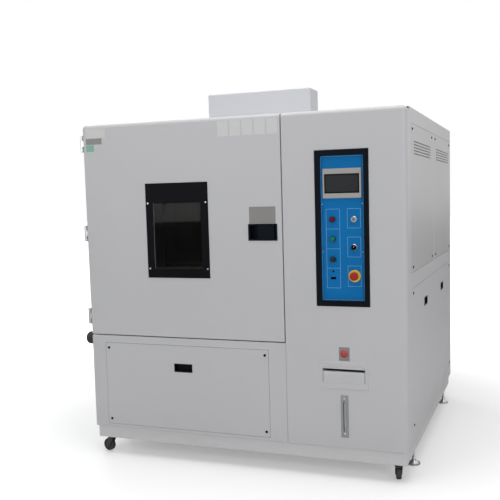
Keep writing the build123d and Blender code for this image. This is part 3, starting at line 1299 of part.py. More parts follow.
def gauge_plate():
    """Cover plate with the upright slot of the water level gauge."""
    x, z = gauge_middle()
    plate = block(GAUGE_LEFT, GAUGE_LEFT + GAUGE_SIZE[0], -GAUGE_PROUD, 0,
                  GAUGE_BOTTOM, GAUGE_BOTTOM + GAUGE_SIZE[1])
    plate = chamfer(plate.faces().sort_by(Axis.Y)[0].edges(), GAUGE_PROUD / 2)
    slot = extrude(Plane.XZ * SlotOverall(GAUGE_SLOT[1], GAUGE_SLOT[0], rotation=90), GAUGE_PROUD)
    return plate - Pos(x, 0, z) * slot


def pieces():
    """Every piece by name."""
    made = {
        "base_frame": base_frame(), "left_panel": left_panel(), "top_panel": top_panel(),
        "rear_panel": rear_panel(), "column_front": column_front(), "side_frame": side_frame(),
        "upper_side_panels": upper_side_panels(), "lower_side_panel": lower_side_panel(),
        "lower_fascia": lower_fascia(), "front_access_panel": front_access_panel(),
        "finger_pulls": finger_pulls(), "panel_screws": panel_screws(), "cable_boot": cable_boot(),
        "insulation": insulation(), "liner": liner(), "wire_shelves": wire_shelves(),
        "air_baffle": air_baffle(), "evaporator": evaporator(), "heater": heater(),
        "motor_cover": motor_cover(), "fan_motors": fan_motors(), "compressors": compressors(),
        "condenser": condenser(), "condenser_fan": condenser_fan(), "water_tank": water_tank(),
        "electrical_plate": electrical_plate(), "door_skin": door_skin(), "door_core": door_core(),
        "window_glass": window_glass(), "window_frame": window_frame(), "door_gasket": door_gasket(),
        "latch_housing": latch_housing(), "latch_paddle": latch_paddle(),
        "hinges_fixed": hinges_fixed(), "hinges_moving": hinges_moving(),
        "control_bezel": control_bezel(), "control_plate": control_plate(), "hmi": hmi(),
        "screen": screen(), "signal_units": signal_units(), "switch_rings": switch_rings(),
        "key_barrel": key_barrel(), "selector_knob": selector_knob(), "estop_collar": estop_collar(),
        "estop_head": estop_head(), "drawer_frame": drawer_frame(), "water_drawer": water_drawer(),
        "gauge_plate": gauge_plate(),
    }
    for side, x in zip(("left", "right"), fan_places()):
        made[f"fan_rotor_{side}"] = fan_rotor(x)
    for i, corner in enumerate(("front_left", "front_right", "rear_left", "rear_right")):
        if i < 2:
            made[f"fork_{corner}"] = caster_fork(CASTER_POSTS[i], CASTER_TURNS[i], CASTER_RACE_GAP)
        made[f"wheel_{corner}"] = caster_wheel(CASTER_POSTS[i], CASTER_TURNS[i])
        made[f"foot_{corner}"] = levelling_foot(FOOT_POSTS[i])
    return made


def main():
    os.makedirs("parts", exist_ok=True)
    for name, shape in pieces().items():
        export_step(Pos(-ORIGIN[0], -ORIGIN[1], 0) * shape, f"parts/{name}.step")


if __name__ == "__main__":
    main()
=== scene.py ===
# %% [markdown]
# An environmental test chamber, dressed for rendering. The solids of every panel, hinge,
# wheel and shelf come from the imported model. This script gives them paint, plastic, steel
# and glass, and adds what is too small or too flat to be a solid of its own: screws,
# printed lines, bare plates, lenses and threads.

import math

import bmesh
import bpy
from mathutils import Matrix, Vector


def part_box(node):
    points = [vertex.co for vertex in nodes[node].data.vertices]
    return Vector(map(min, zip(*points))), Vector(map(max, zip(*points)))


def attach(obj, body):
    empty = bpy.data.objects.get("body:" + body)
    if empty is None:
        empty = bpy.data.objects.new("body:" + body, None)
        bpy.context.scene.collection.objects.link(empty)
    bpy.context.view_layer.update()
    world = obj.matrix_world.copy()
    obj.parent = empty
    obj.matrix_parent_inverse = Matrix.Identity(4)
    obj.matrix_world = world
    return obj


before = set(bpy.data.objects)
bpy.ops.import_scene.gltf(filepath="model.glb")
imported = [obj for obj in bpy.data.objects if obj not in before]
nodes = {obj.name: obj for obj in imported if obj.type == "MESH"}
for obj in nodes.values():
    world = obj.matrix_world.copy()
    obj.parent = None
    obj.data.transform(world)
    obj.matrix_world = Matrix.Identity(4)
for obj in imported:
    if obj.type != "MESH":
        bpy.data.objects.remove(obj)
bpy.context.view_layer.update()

# %% [markdown]
# The cabinet was measured in millimetres from its own left, front and floor. The packed
# model has its origin in the middle of the footprint. One small function turns the first
# kind of place into the second, so every number below reads like a tape measure.

# %% Places in millimetres
MM = 0.001
LEFT_TO_ORIGIN, FRONT_TO_ORIGIN = 841.0, 852.0


def place(x, y, z):
    """A point in metres from millimetres to the right, to the rear and up."""
    return Vector(((x - LEFT_TO_ORIGIN) * MM, (y - FRONT_TO_ORIGIN) * MM, z * MM))


print("the column starts at", place(1153, 0, 165))

# %% [markdown]
# The same few effects turn up in many finishes: a fine grain, soft blotches, brushed
# lines, dust that settles low down, and edges rubbed bright. Each is a node group with
# its own sliders, built once and then placed in whichever material needs it.

# %% Node group helper
def effect(name, inputs, outputs):
    """An empty shader node group with float or colour sockets, ready to be filled."""
    group = bpy.data.node_groups.new(name, "ShaderNodeTree")
    for label, kind, value in inputs:
        socket = group.interface.new_socket(label, in_out="INPUT", socket_type=kind)
        socket.default_value = value
    for label, kind in outputs:
        group.interface.new_socket(label, in_out="OUTPUT", socket_type=kind)
    start, end = group.nodes.new("NodeGroupInput"), group.nodes.new("NodeGroupOutput")
    return group, start, end


def add(tree, kind, links=(), **settings):
    """A node with its settings, and its inputs linked from sockets or set to values."""
    node = tree.nodes.new(kind)
    for key, value in settings.items():
        setattr(node, key, value)
    for socket, source in dict(links).items():
        if isinstance(source, bpy.types.NodeSocket):
            tree.links.new(source, node.inputs[socket])
        else:
            node.inputs[socket].default_value = source
    return node


def maths(tree, operation, a, b=0.5, clamp=False):
    return add(tree, "ShaderNodeMath", {0: a, 1: b}, operation=operation, use_clamp=clamp).outputs[0]


def object_place(tree):
    return add(tree, "ShaderNodeTexCoord").outputs["Object"]


def noise(tree, where, scale, detail):
    """Noise from 0 to 1 at a place; its scale is a socket or a number."""
    settings = {"Vector": where, "Scale": scale, "Detail": detail}
    return add(tree, "ShaderNodeTexNoise", settings).outputs["Fac"]


FLOAT, COLOUR = "NodeSocketFloat", "NodeSocketColor"
print("helpers for sockets of kind", FLOAT, "and", COLOUR)

# %% [markdown]
# Powder paint and moulded plastic are never quite flat. Two sizes of noise added together
# give an orange peel or a moulded grain. The group only puts out a height, and each
# material decides in its own Bump node how deep that is.

# %% Effect: fine grain
grain_effect, start, end = effect("fine_grain", [("Scale", FLOAT, 500.0), ("Coarse", FLOAT, 0.3)],
                                  [("Height", FLOAT)])
COARSE_TO_FINE = 0.11
where = object_place(grain_effect)
small = noise(grain_effect, where, start.outputs["Scale"], 3.0)
wide_scale = maths(grain_effect, "MULTIPLY", start.outputs["Scale"], COARSE_TO_FINE)
wide = noise(grain_effect, where, wide_scale, 1.0)
wide_part = maths(grain_effect, "MULTIPLY", wide, start.outputs["Coarse"])
grain_effect.links.new(maths(grain_effect, "ADD", small, wide_part), end.inputs["Height"])
print("effect", grain_effect.name)

# %% [markdown]
# Nothing large is one even colour. Slow noise lightens and darkens the paint by a few
# parts in a hundred, and makes it a little glossier where hands and cloths have been.

# %% Effect: soft blotches
blotch_effect, start, end = effect(
    "soft_blotches",
    [("Color", COLOUR, (0.5, 0.5, 0.5, 1.0)), ("Scale", FLOAT, 3.0), ("Amount", FLOAT, 0.06),
     ("Roughness", FLOAT, 0.4), ("Spread", FLOAT, 0.1)],
    [("Color", COLOUR), ("Roughness", FLOAT)])
where = object_place(blotch_effect)
cloud = noise(blotch_effect, where, start.outputs["Scale"], 5.0)
centred = maths(blotch_effect, "SUBTRACT", cloud, 0.5)
change = maths(blotch_effect, "MULTIPLY", centred, start.outputs["Amount"])
bright = maths(blotch_effect, "ADD", change, 1.0)
tinted = add(blotch_effect, "ShaderNodeVectorMath", {0: start.outputs["Color"]}, operation="SCALE")
blotch_effect.links.new(bright, tinted.inputs["Scale"])
blotch_effect.links.new(tinted.outputs[0], end.inputs["Color"])
sheen_change = maths(blotch_effect, "MULTIPLY", centred, start.outputs["Spread"])
sheen = maths(blotch_effect, "ADD", sheen_change, start.outputs["Roughness"], clamp=True)
blotch_effect.links.new(sheen, end.inputs["Roughness"])
print("effect", blotch_effect.name)

# %% [markdown]
# Brushed steel has long fine lines in one direction. Noise that is squeezed hard along
# two axes and left long along the third looks just like them.

# %% Effect: brushed lines
brush_effect, start, end = effect(
    "brushed_lines",
    [("Along X", FLOAT, 4.0), ("Along Y", FLOAT, 900.0), ("Along Z", FLOAT, 900.0)],
    [("Height", FLOAT)])
where = object_place(brush_effect)
stretch = add(brush_effect, "ShaderNodeCombineXYZ", {i: start.outputs[i] for i in range(3)})
squeezed = add(brush_effect, "ShaderNodeVectorMath", {0: where, 1: stretch.outputs[0]},
               operation="MULTIPLY")
lines = noise(brush_effect, squeezed.outputs[0], 1.0, 2.0)
brush_effect.links.new(lines, end.inputs["Height"])
print("effect", brush_effect.name)

# %% [markdown]
# A machine on casters gathers dust near the floor. The mask fades upwards from the floor
# and is broken up with noise, so that it doesn't read as a painted band.

# %% Effect: low dust
dust_effect, start, end = effect("low_dust", [("Reach", FLOAT, 0.45), ("Amount", FLOAT, 0.5)],
                                 [("Mask", FLOAT)])
where = object_place(dust_effect)
height = add(dust_effect, "ShaderNodeSeparateXYZ", {0: where}).outputs["Z"]
rise = maths(dust_effect, "DIVIDE", height, start.outputs["Reach"])
fade = maths(dust_effect, "SUBTRACT", 1.0, rise, clamp=True)
specks = noise(dust_effect, where, 24.0, 6.0)
broken = maths(dust_effect, "MULTIPLY", maths(dust_effect, "POWER", fade, 2.0), specks)
settled = maths(dust_effect, "MULTIPLY", broken, start.outputs["Amount"], clamp=True)
dust_effect.links.new(settled, end.inputs["Mask"])
print("effect", dust_effect.name)

# %% [markdown]
# Corners lose their skin first. The Bevel node gives the normal that a rounded corner
# would have. Where it leans away from the real one there is an edge, and noise chips it.

# %% Effect: rubbed edges
edge_effect, start, end = effect("rubbed_edges", [("Radius", FLOAT, 0.0015), ("Amount", FLOAT, 0.5)],
                                 [("Mask", FLOAT)])
soft_normal = add(edge_effect, "ShaderNodeBevel", {"Radius": start.outputs["Radius"]}, samples=4).outputs[0]
true_normal = add(edge_effect, "ShaderNodeNewGeometry").outputs["Normal"]
agree = add(edge_effect, "ShaderNodeVectorMath", {0: soft_normal, 1: true_normal}, operation="DOT_PRODUCT")
lean = maths(edge_effect, "SUBTRACT", 1.0, agree.outputs["Value"], clamp=True)
chips = noise(edge_effect, object_place(edge_effect), 160.0, 4.0)
worn = maths(edge_effect, "MULTIPLY", maths(edge_effect, "MULTIPLY", lean, 4.0), chips)
bare = maths(edge_effect, "MULTIPLY", worn, start.outputs["Amount"], clamp=True)
edge_effect.links.new(bare, end.inputs["Mask"])
print("effect", edge_effect.name)

# %% [markdown]
# Every finish is one Principled BSDF fed by the effects that it needs. The function below
# wires them up. A number that is the same all over a surface goes straight on the
# shader's socket, where it can be read later.

# %% Finish maker
def blend_colour(tree, mask, under, over):
    """One colour laid over another where the mask is 1; inputs 6 and 7 are the colours of a Mix node."""
    mix = add(tree, "ShaderNodeMix", {0: mask, 6: under, 7: over}, data_type="RGBA")
    return mix.outputs[2]


def finish(name, colour, roughness, metallic=0.0, grain=(500.0, 0.3, 0.00002), blotch=(3.0, 0.06, 0.1),
           brushed=None, dust=None, edges=None, specular=0.5):
    """A material. Grain is scale, coarse share and depth; blotch is scale, tint and gloss change.
    Brushed is a scale for each axis; dust and edges are reach, amount and colour."""
    material = bpy.data.materials.new(name)
    material.use_nodes = True
    tree = material.node_tree
    shader = tree.nodes["Principled BSDF"]
    base = (*colour, 1.0)
    shader.inputs["Metallic"].default_value = metallic
    shader.inputs["Specular IOR Level"].default_value = specular
    spots = add(tree, "ShaderNodeGroup", node_tree=blotch_effect)
    for socket, value in (("Color", base), ("Scale", blotch[0]), ("Amount", blotch[1]),
                          ("Roughness", roughness), ("Spread", blotch[2])):
        spots.inputs[socket].default_value = value
    shade = spots.outputs["Color"]
    if dust:
        low = add(tree, "ShaderNodeGroup", node_tree=dust_effect)
        low.inputs["Reach"].default_value, low.inputs["Amount"].default_value = dust[:2]
        shade = blend_colour(tree, low.outputs["Mask"], shade, (*dust[2], 1.0))
    if edges:
        rubbed = add(tree, "ShaderNodeGroup", node_tree=edge_effect)
        rubbed.inputs["Radius"].default_value, rubbed.inputs["Amount"].default_value = edges[:2]
        shade = blend_colour(tree, rubbed.outputs["Mask"], shade, (*edges[2], 1.0))
    tree.links.new(shade, shader.inputs["Base Color"])
    tree.links.new(spots.outputs["Roughness"], shader.inputs["Roughness"])
    relief = add(tree, "ShaderNodeGroup", node_tree=brush_effect if brushed else grain_effect)
    if brushed:
        for i in range(3):
            relief.inputs[i].default_value = brushed[i]
    else:
        relief.inputs["Scale"].default_value, relief.inputs["Coarse"].default_value = grain[:2]
    bump = add(tree, "ShaderNodeBump",
               {"Strength": 1.0, "Distance": grain[2], "Height": relief.outputs["Height"]})
    tree.links.new(bump.outputs[0], shader.inputs["Normal"])
    return material


print("finish maker ready")

# %% [markdown]
# The cabinet is folded sheet with a light grey powder coat: half matt, with an orange
# peel of a few millimetres and a little grime near the floor. The removable side panels
# are a little darker and glossier, and the roof cover a little paler. The plinth has the
# same paint as the cabinet. Its colour here is paler as painted light, to lift the shade
# that the overhead light leaves on it.

# %% Finishes: cabinet paint
GRIME = (0.30, 0.28, 0.25)
ORANGE_PEEL = (420.0, 0.6, 0.00006)
powder_coat = finish("powder_coat", (0.53, 0.53, 0.545), 0.40, grain=ORANGE_PEEL,
                     blotch=(2.2, 0.05, 0.12), dust=(0.42, 0.35, GRIME),
                     edges=(0.0012, 0.25, (0.70, 0.70, 0.71)), specular=0.4)
# The plinth's paler colour is painted light: it lifts the shade that the overhead light leaves on the
# plinth.
plinth_coat_painted_light = finish("plinth_coat_painted_light", (0.60, 0.60, 0.61), 0.45, grain=ORANGE_PEEL,
                     blotch=(3.0, 0.08, 0.12), dust=(0.26, 0.4, GRIME),
                     edges=(0.0015, 0.5, (0.64, 0.64, 0.64)))
cover_coat = finish("cover_coat", (0.61, 0.62, 0.65), 0.42, grain=ORANGE_PEEL,
                    blotch=(2.2, 0.05, 0.12), edges=(0.0012, 0.25, (0.74, 0.74, 0.76)), specular=0.4)
side_coat = finish("side_coat", (0.45, 0.452, 0.45), 0.36, grain=ORANGE_PEEL,
                   blotch=(1.6, 0.08, 0.12), dust=(0.42, 0.35, GRIME),
                   edges=(0.0012, 0.4, (0.72, 0.72, 0.72)), specular=0.4)
print("paints", powder_coat.name, plinth_coat_painted_light.name, cover_coat.name, side_coat.name)

# %% [markdown]
# Dark trims, the surround of the control panel and the pulls are moulded or painted
# black. They aren't pure black: light catches their grain and their worn corners.

# %% Finishes: blacks and rubbers
trim_black = finish("trim_black", (0.0045, 0.0065, 0.010), 0.42, grain=(1500.0, 0.3, 0.00003),
                    blotch=(9.0, 0.5, 0.2), edges=(0.001, 0.5, (0.05, 0.05, 0.055)), specular=0.05)
window_black = finish("window_black", (0.006, 0.006, 0.008), 0.34, grain=(900.0, 0.3, 0.00001),
                      blotch=(6.0, 0.4, 0.15), edges=(0.001, 0.4, (0.05, 0.05, 0.055)), specular=0.035)
screw_black = finish("screw_black", (0.008, 0.008, 0.008), 0.34, blotch=(60.0, 0.4, 0.2),
                     edges=(0.0006, 0.3, (0.04, 0.04, 0.04)), specular=0.0)
machine_black = finish("machine_black", (0.022, 0.022, 0.024), 0.42, grain=(260.0, 0.5, 0.00006),
                       blotch=(8.0, 0.4, 0.2), edges=(0.002, 0.4, (0.12, 0.12, 0.12)))
seal_rubber = finish("seal_rubber", (0.022, 0.022, 0.023), 0.72, grain=(700.0, 0.5, 0.00008),
                     blotch=(12.0, 0.4, 0.15), dust=(1.0, 0.3, (0.16, 0.15, 0.14)))
tread_rubber = finish("tread_rubber", (0.014, 0.014, 0.015), 0.66, grain=(380.0, 0.6, 0.0001),
                      blotch=(40.0, 0.6, 0.2), dust=(0.12, 0.5, (0.13, 0.12, 0.11)))
print("blacks ready")

# %% [markdown]
# Bare metals: brushed stainless inside the chamber, zinc on the feet, satin
# plating on the hinges, and anodised aluminium on the level gauge.

# %% Finishes: metals
stainless_upright = finish("stainless_upright", (0.56, 0.565, 0.57), 0.34, 1.0, grain=(0, 0, 0.00002),
                           brushed=(900.0, 900.0, 4.0), blotch=(3.0, 0.06, 0.12))
stainless_level = finish("stainless_level", (0.56, 0.565, 0.57), 0.32, 1.0, grain=(0, 0, 0.00002),
                         brushed=(4.0, 900.0, 900.0), blotch=(5.0, 0.06, 0.12))
zinc = finish("zinc", (0.55, 0.56, 0.58), 0.36, 1.0, grain=(160.0, 0.4, 0.00003), blotch=(90.0, 0.3, 0.3),
              dust=(0.16, 0.4, GRIME))
satin_plate = finish("satin_plate", (0.62, 0.62, 0.63), 0.27, 1.0, grain=(900.0, 0.3, 0.00001),
                     blotch=(30.0, 0.15, 0.2), edges=(0.001, 0.5, (0.8, 0.8, 0.8)))
bright_chrome = finish("bright_chrome", (0.42, 0.43, 0.45), 0.14, 1.0, grain=(600.0, 0.3, 0.000004),
                       blotch=(80.0, 0.1, 0.12))
key_metal = finish("key_metal", (0.20, 0.21, 0.23), 0.30, 1.0, grain=(600.0, 0.3, 0.000006),
                   blotch=(90.0, 0.3, 0.2))
gauge_metal = finish("gauge_metal", (0.28, 0.285, 0.30), 0.40, 0.6, grain=(0, 0, 0.00002),
                     brushed=(900.0, 900.0, 5.0), blotch=(14.0, 0.1, 0.12))
fin_metal = finish("fin_metal", (0.62, 0.63, 0.65), 0.30, 1.0, grain=(0, 0, 0.00003),
                   brushed=(6.0, 6.0, 700.0), blotch=(20.0, 0.2, 0.2))
hot_steel = finish("hot_steel", (0.20, 0.15, 0.12), 0.45, 0.9, grain=(300.0, 0.4, 0.00005),
                   blotch=(25.0, 0.6, 0.3))
print("metals ready")

# %% [markdown]
# The control panel has its own colours. The plate is a blue film on sheet metal, the
# operator panel is a greyish beige moulding, and the stop button is red on yellow.

# %% Finishes: control panel
blue_film = finish("blue_film", (0.005, 0.158, 0.43), 0.42, grain=(1300.0, 0.3, 0.00002),
                   blotch=(5.0, 0.12, 0.1), specular=0.08)
print_white = finish("print_white", (0.22, 0.42, 0.66), 0.5, grain=(900.0, 0.3, 0.00001),
                     blotch=(40.0, 0.2, 0.1))
case_beige = finish("case_beige", (0.345, 0.34, 0.33), 0.48, grain=(1400.0, 0.4, 0.00004),
                    blotch=(14.0, 0.06, 0.1), edges=(0.0008, 0.3, (0.44, 0.43, 0.42)))
screen_face = finish("screen_face", (0.020, 0.021, 0.023), 0.24, grain=(2600.0, 0.1, 0.000003),
                     blotch=(9.0, 0.3, 0.06), specular=0.18)
screen_edge = finish("screen_edge", (0.004, 0.004, 0.005), 0.30, grain=(900.0, 0.1, 0.000003),
                     blotch=(9.0, 0.3, 0.06), specular=0.06)
stop_red = finish("stop_red", (0.34, 0.018, 0.006), 0.34, grain=(700.0, 0.3, 0.00001),
                  blotch=(40.0, 0.12, 0.15), specular=0.3)
stop_yellow = finish("stop_yellow", (0.78, 0.50, 0.06), 0.36, grain=(900.0, 0.3, 0.00002),
                     blotch=(50.0, 0.1, 0.1))
lens_red = finish("lens_red", (0.13, 0.004, 0.022), 0.30, grain=(500.0, 0.2, 0.00001),
                  blotch=(80.0, 0.3, 0.1), specular=0.12)
lens_green = finish("lens_green", (0.004, 0.19, 0.13), 0.30, grain=(500.0, 0.2, 0.00001),
                    blotch=(80.0, 0.3, 0.1), specular=0.12)
collar_dark = finish("collar_dark", (0.018, 0.026, 0.045), 0.34, grain=(900.0, 0.3, 0.00001),
                     blotch=(60.0, 0.3, 0.2), edges=(0.0006, 0.6, (0.12, 0.13, 0.15)), specular=0.14)
print("control colours ready")

# %% [markdown]
# Inside and behind: foam, milky tank plastic, switchgear housings. Plates and films that
# would carry words on a real machine are left bare, but they keep their own surface.

# %% Finishes: plastics and films
FILM_GRAIN = (700.0, 0.3, 0.00001)
foam_yellow = finish("foam_yellow", (0.62, 0.52, 0.30), 0.85, grain=(240.0, 0.8, 0.0004),
                     blotch=(14.0, 0.25, 0.1))
tank_white = finish("tank_white", (0.62, 0.64, 0.65), 0.42, grain=(300.0, 0.4, 0.00004),
                    blotch=(9.0, 0.06, 0.1))
gear_grey = finish("gear_grey", (0.26, 0.265, 0.27), 0.5, grain=(900.0, 0.4, 0.00003),
                   blotch=(30.0, 0.35, 0.1), edges=(0.001, 0.4, (0.4, 0.4, 0.4)))
film_white = finish("film_white", (0.60, 0.60, 0.60), 0.45, grain=FILM_GRAIN, blotch=(50.0, 0.06, 0.1))
film_grey = finish("film_grey", (0.225, 0.22, 0.215), 0.46, 0.2, grain=(0, 0, 0.00001),
                   brushed=(6.0, 900.0, 900.0), blotch=(40.0, 0.12, 0.1))
film_green = finish("film_green", (0.20, 0.42, 0.32), 0.45, grain=FILM_GRAIN, blotch=(60.0, 0.12, 0.1))
film_red = finish("film_red", (0.40, 0.05, 0.05), 0.42, grain=FILM_GRAIN, blotch=(60.0, 0.12, 0.1))
pane_glass = finish("pane_glass", (0.34, 0.36, 0.33), 0.02, grain=(3.0, 0.3, 0.00001),
                    blotch=(4.0, 0.02, 0.02))
pane_shader = pane_glass.node_tree.nodes["Principled BSDF"]
pane_shader.inputs["Transmission Weight"].default_value = 1.0
pane_shader.inputs["IOR"].default_value = 1.18
print("films ready")

# %% [markdown]
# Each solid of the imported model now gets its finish. The solids keep their own meshes and
# places, and only the material in their slot changes.

# %% Dress the solids
dressing = {
    powder_coat: ["left_panel", "top_panel", "rear_panel", "column_front", "side_frame", "lower_side_panel",
                  "lower_fascia", "front_access_panel", "door_skin", "drawer_frame", "water_drawer"],
    # The plinth gets the paler paint, painted light over its shade.
    plinth_coat_painted_light: ["base_frame"],
    cover_coat: ["motor_cover"],
    side_coat: ["upper_side_panels"],
    stainless_upright: ["liner", "air_baffle", "door_core"],
    stainless_level: ["wire_shelves"],
    foam_yellow: ["insulation"],
    hot_steel: ["heater"],
    fin_metal: ["evaporator", "condenser"],
    machine_black: ["compressors", "fan_motors", "fork_front_left", "fork_front_right"],
    satin_plate: ["hinges_fixed", "hinges_moving"],
    bright_chrome: ["switch_rings"],
    tank_white: ["water_tank"],
    gear_grey: ["electrical_plate"],
    trim_black: ["control_bezel", "finger_pulls", "latch_housing", "latch_paddle", "selector_knob",
                 "condenser_fan"],
    window_black: ["window_frame"],
    screw_black: ["panel_screws"],
    gauge_metal: ["gauge_plate"],
    seal_rubber: ["door_gasket", "cable_boot"],
    pane_glass: ["window_glass"],
    blue_film: ["control_plate"],
    case_beige: ["hmi"],
    screen_face: ["screen"],
    collar_dark: ["signal_units"],
    stop_yellow: ["estop_collar"],
    stop_red: ["estop_head"],
    key_metal: ["key_barrel"],
    zinc: ["foot_front_left", "foot_front_right", "foot_rear_left", "foot_rear_right",
           "fan_rotor_left", "fan_rotor_right"],
    tread_rubber: ["wheel_front_left", "wheel_front_right", "wheel_rear_left", "wheel_rear_right"],
}
for material, names in dressing.items():
    for name in names:
        for carrier in nodes[name].material_slots:
            carrier.material = material
left_over = set(nodes) - {name for names in dressing.values() for name in names}
print("dressed", sum(len(names) for names in dressing.values()), "left over", sorted(left_over))

# %% [markdown]
# Thin things are drawn in the front plane and given a little thickness: a bare plate is a
# rounded rectangle with a softened edge, and a printed line is a hollow one.

# %% Piece makers
def piece(name, verts, faces, material, body, slot=None, smooth=False):
    """A closed mesh that moves with a body."""
    mesh = bpy.data.meshes.new(name)
    mesh.from_pydata([tuple(v) for v in verts], [], faces)
    work = bmesh.new()
    work.from_mesh(mesh)
    bmesh.ops.recalc_face_normals(work, faces=work.faces)
    work.to_mesh(mesh)
    work.free()
    mesh.materials.append(material)
    for face in mesh.polygons:
        face.use_smooth = smooth
    made = bpy.data.objects.new(name, mesh)
    bpy.context.scene.collection.objects.link(made)
    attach(made, body)
    return made


def rounded(x0, x1, z0, z1, r, steps=5):
    """Points round a rectangle with rounded corners, anticlockwise from its lower right corner."""
    points = []
    corners = ((x1 - r, z0 + r, -90), (x1 - r, z1 - r, 0), (x0 + r, z1 - r, 90), (x0 + r, z0 + r, 180))
    for cx, cz, start_angle in corners:
        for i in range(steps + 1):
            a = math.radians(start_angle + 90 * i / steps)
            points.append((cx + r * math.cos(a), cz + r * math.sin(a)))
    return points


def rings_to_mesh(rings, closed_ends=True):
    """Vertices and faces of a tube through rings of (x, y, z) points; ends are capped or joined up."""
    count = len(rings[0])
    verts = [place(*p) for ring in rings for p in ring]
    faces = []
    spans = len(rings) - 1 if closed_ends else len(rings)
    for k in range(spans):
        a, b = k * count, (k + 1) % len(rings) * count
        faces += [(a + i, a + (i + 1) % count, b + (i + 1) % count, b + i) for i in range(count)]
    if closed_ends:
        faces += [tuple(range(count)), tuple((len(rings) - 1) * count + i for i in range(count))]
    return verts, faces


def plate(name, rect, face_y, thick, r, material, body, slot=None, edge=0.3):
    """A rounded plate that stands out from a face, softened along its front edge."""
    x0, x1, z0, z1 = rect
    front = face_y - thick
    rings = [[(x, y, z) for x, z in rounded(x0 + i, x1 - i, z0 + i, z1 - i, r - i)]
             for y, i in ((face_y, 0.0), (front + edge, 0.0), (front, edge))]
    return piece(name, *rings_to_mesh(rings), material, body, slot)


def line_frame(name, rect, face_y, thick, width, r, material, body, slot=None):
    """A hollow rounded rectangle: one printed or inlaid line."""
    x0, x1, z0, z1 = rect
    loops = ((face_y, 0.0), (face_y - thick, 0.0), (face_y - thick, width), (face_y, width))
    rings = [[(x, y, z) for x, z in rounded(x0 + i, x1 - i, z0 + i, z1 - i, max(r - i, 0.05))]
             for y, i in loops]
    return piece(name, *rings_to_mesh(rings, closed_ends=False), material, body, slot)


def turned(name, profile, x, z, material, body, slot=None, steps=48):
    """A turned part facing the front: profile is a list of (radius, y) from its rim to its middle."""
    rings = [[(x + r * math.cos(2 * math.pi * i / steps), y, z + r * math.sin(2 * math.pi * i / steps))
              for i in range(steps)] for r, y in profile]
    return piece(name, *rings_to_mesh(rings), material, body, slot, smooth=True)


print("piece makers ready")

# %% [markdown]
# The lamps have moulded lenses. Pressed rings inside a real lens spread the light of the
# bulb, and from outside they show as fine circles on its flat middle. The screen has a
# dark printed border round its picture.

# %% Lenses and buzzer face
PLATE_FACE = 12.0
RING_HEIGHT = 9.0
LENS_BASE = PLATE_FACE - RING_HEIGHT
RIDGE_HEIGHT = 0.18
SIGNAL_X, SIGNAL_Z = 1407.0, (1313.0, 1217.0, 1116.0)


def lens_profile(radius=12.4, height=5.4, shoulder=3.9, ridges=5):
    """Radius and y of a lens with a rounded shoulder and ridges on its flat middle."""
    profile = [(radius, LENS_BASE), (radius, LENS_BASE - height + shoulder)]
    for i in range(ridges * 4 + 1):
        r = 0.3 + (radius - 0.4) * (1 - i / (ridges * 4))
        fall = max(0.0, r - (radius - shoulder))
        rise = height - shoulder + math.sqrt(shoulder ** 2 - fall ** 2)
        profile.append((r, LENS_BASE - rise - (RIDGE_HEIGHT if i % 4 == 2 and not fall else 0.0)))
    return profile


for name, z, material in zip(("red_lens", "green_lens", "buzzer_face"), SIGNAL_Z,
                             (lens_red, lens_green, collar_dark)):
    turned(name, lens_profile(), SIGNAL_X, z, material, "cabinet", "signal")
low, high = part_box("screen")
SCREEN_INSET, BORDER_THICK, BORDER_WIDTH = 1, 0.2, 6
screen_rect = (low[0] / MM + LEFT_TO_ORIGIN + SCREEN_INSET, high[0] / MM + LEFT_TO_ORIGIN - SCREEN_INSET,
               low[2] / MM + SCREEN_INSET, high[2] / MM - SCREEN_INSET)
line_frame("screen_border", screen_rect, low[1] / MM + FRONT_TO_ORIGIN, BORDER_THICK, BORDER_WIDTH, 1,
           screen_edge, "cabinet", "screen_dark")
print("lenses at", SIGNAL_Z, "screen", [round(v) for v in screen_rect])

# %% [markdown]
# Pale lines are printed on the blue plate to group the lamps and the switches. They stand
# out by 0.15 mm here, so that they stay visible and never flicker.

# %% Printed lines on the blue plate
PRINT, PRINT_WIDTH = 0.15, 1.3
DIVIDER_Z, DIVIDER_HALF = (1266, 1168, 1072), 0.6
SWITCH_FRAME_HEIGHTS = ((1269, 1365), (1127, 1226), (982, 1084))


def printed_frame(name, rect, corner):
    return line_frame(name, rect, PLATE_FACE, PRINT, PRINT_WIDTH, corner, print_white, "cabinet",
                      "blue_plate")


printed_frame("plate_border", (1351, 1564, 914, 1621), 6)
printed_frame("lamp_frame", (1374, 1444, 973, 1364), 1)
for i, z in enumerate(DIVIDER_Z):
    plate(f"lamp_divider_{i}", (1375, 1443, z - DIVIDER_HALF, z + DIVIDER_HALF), PLATE_FACE, PRINT, 0.2,
          print_white, "cabinet", "blue_plate", edge=0.05)
for i, heights in enumerate(SWITCH_FRAME_HEIGHTS):
    printed_frame(f"switch_frame_{i}", (1481, 1548, *heights), 1)
print("frames and", len(DIVIDER_Z), "dividers printed")

# %% [markdown]
# Small plates are riveted or glued to the door and the column. On a real machine they say
# things. Here they are bare, with a plain surface and a thin edge.

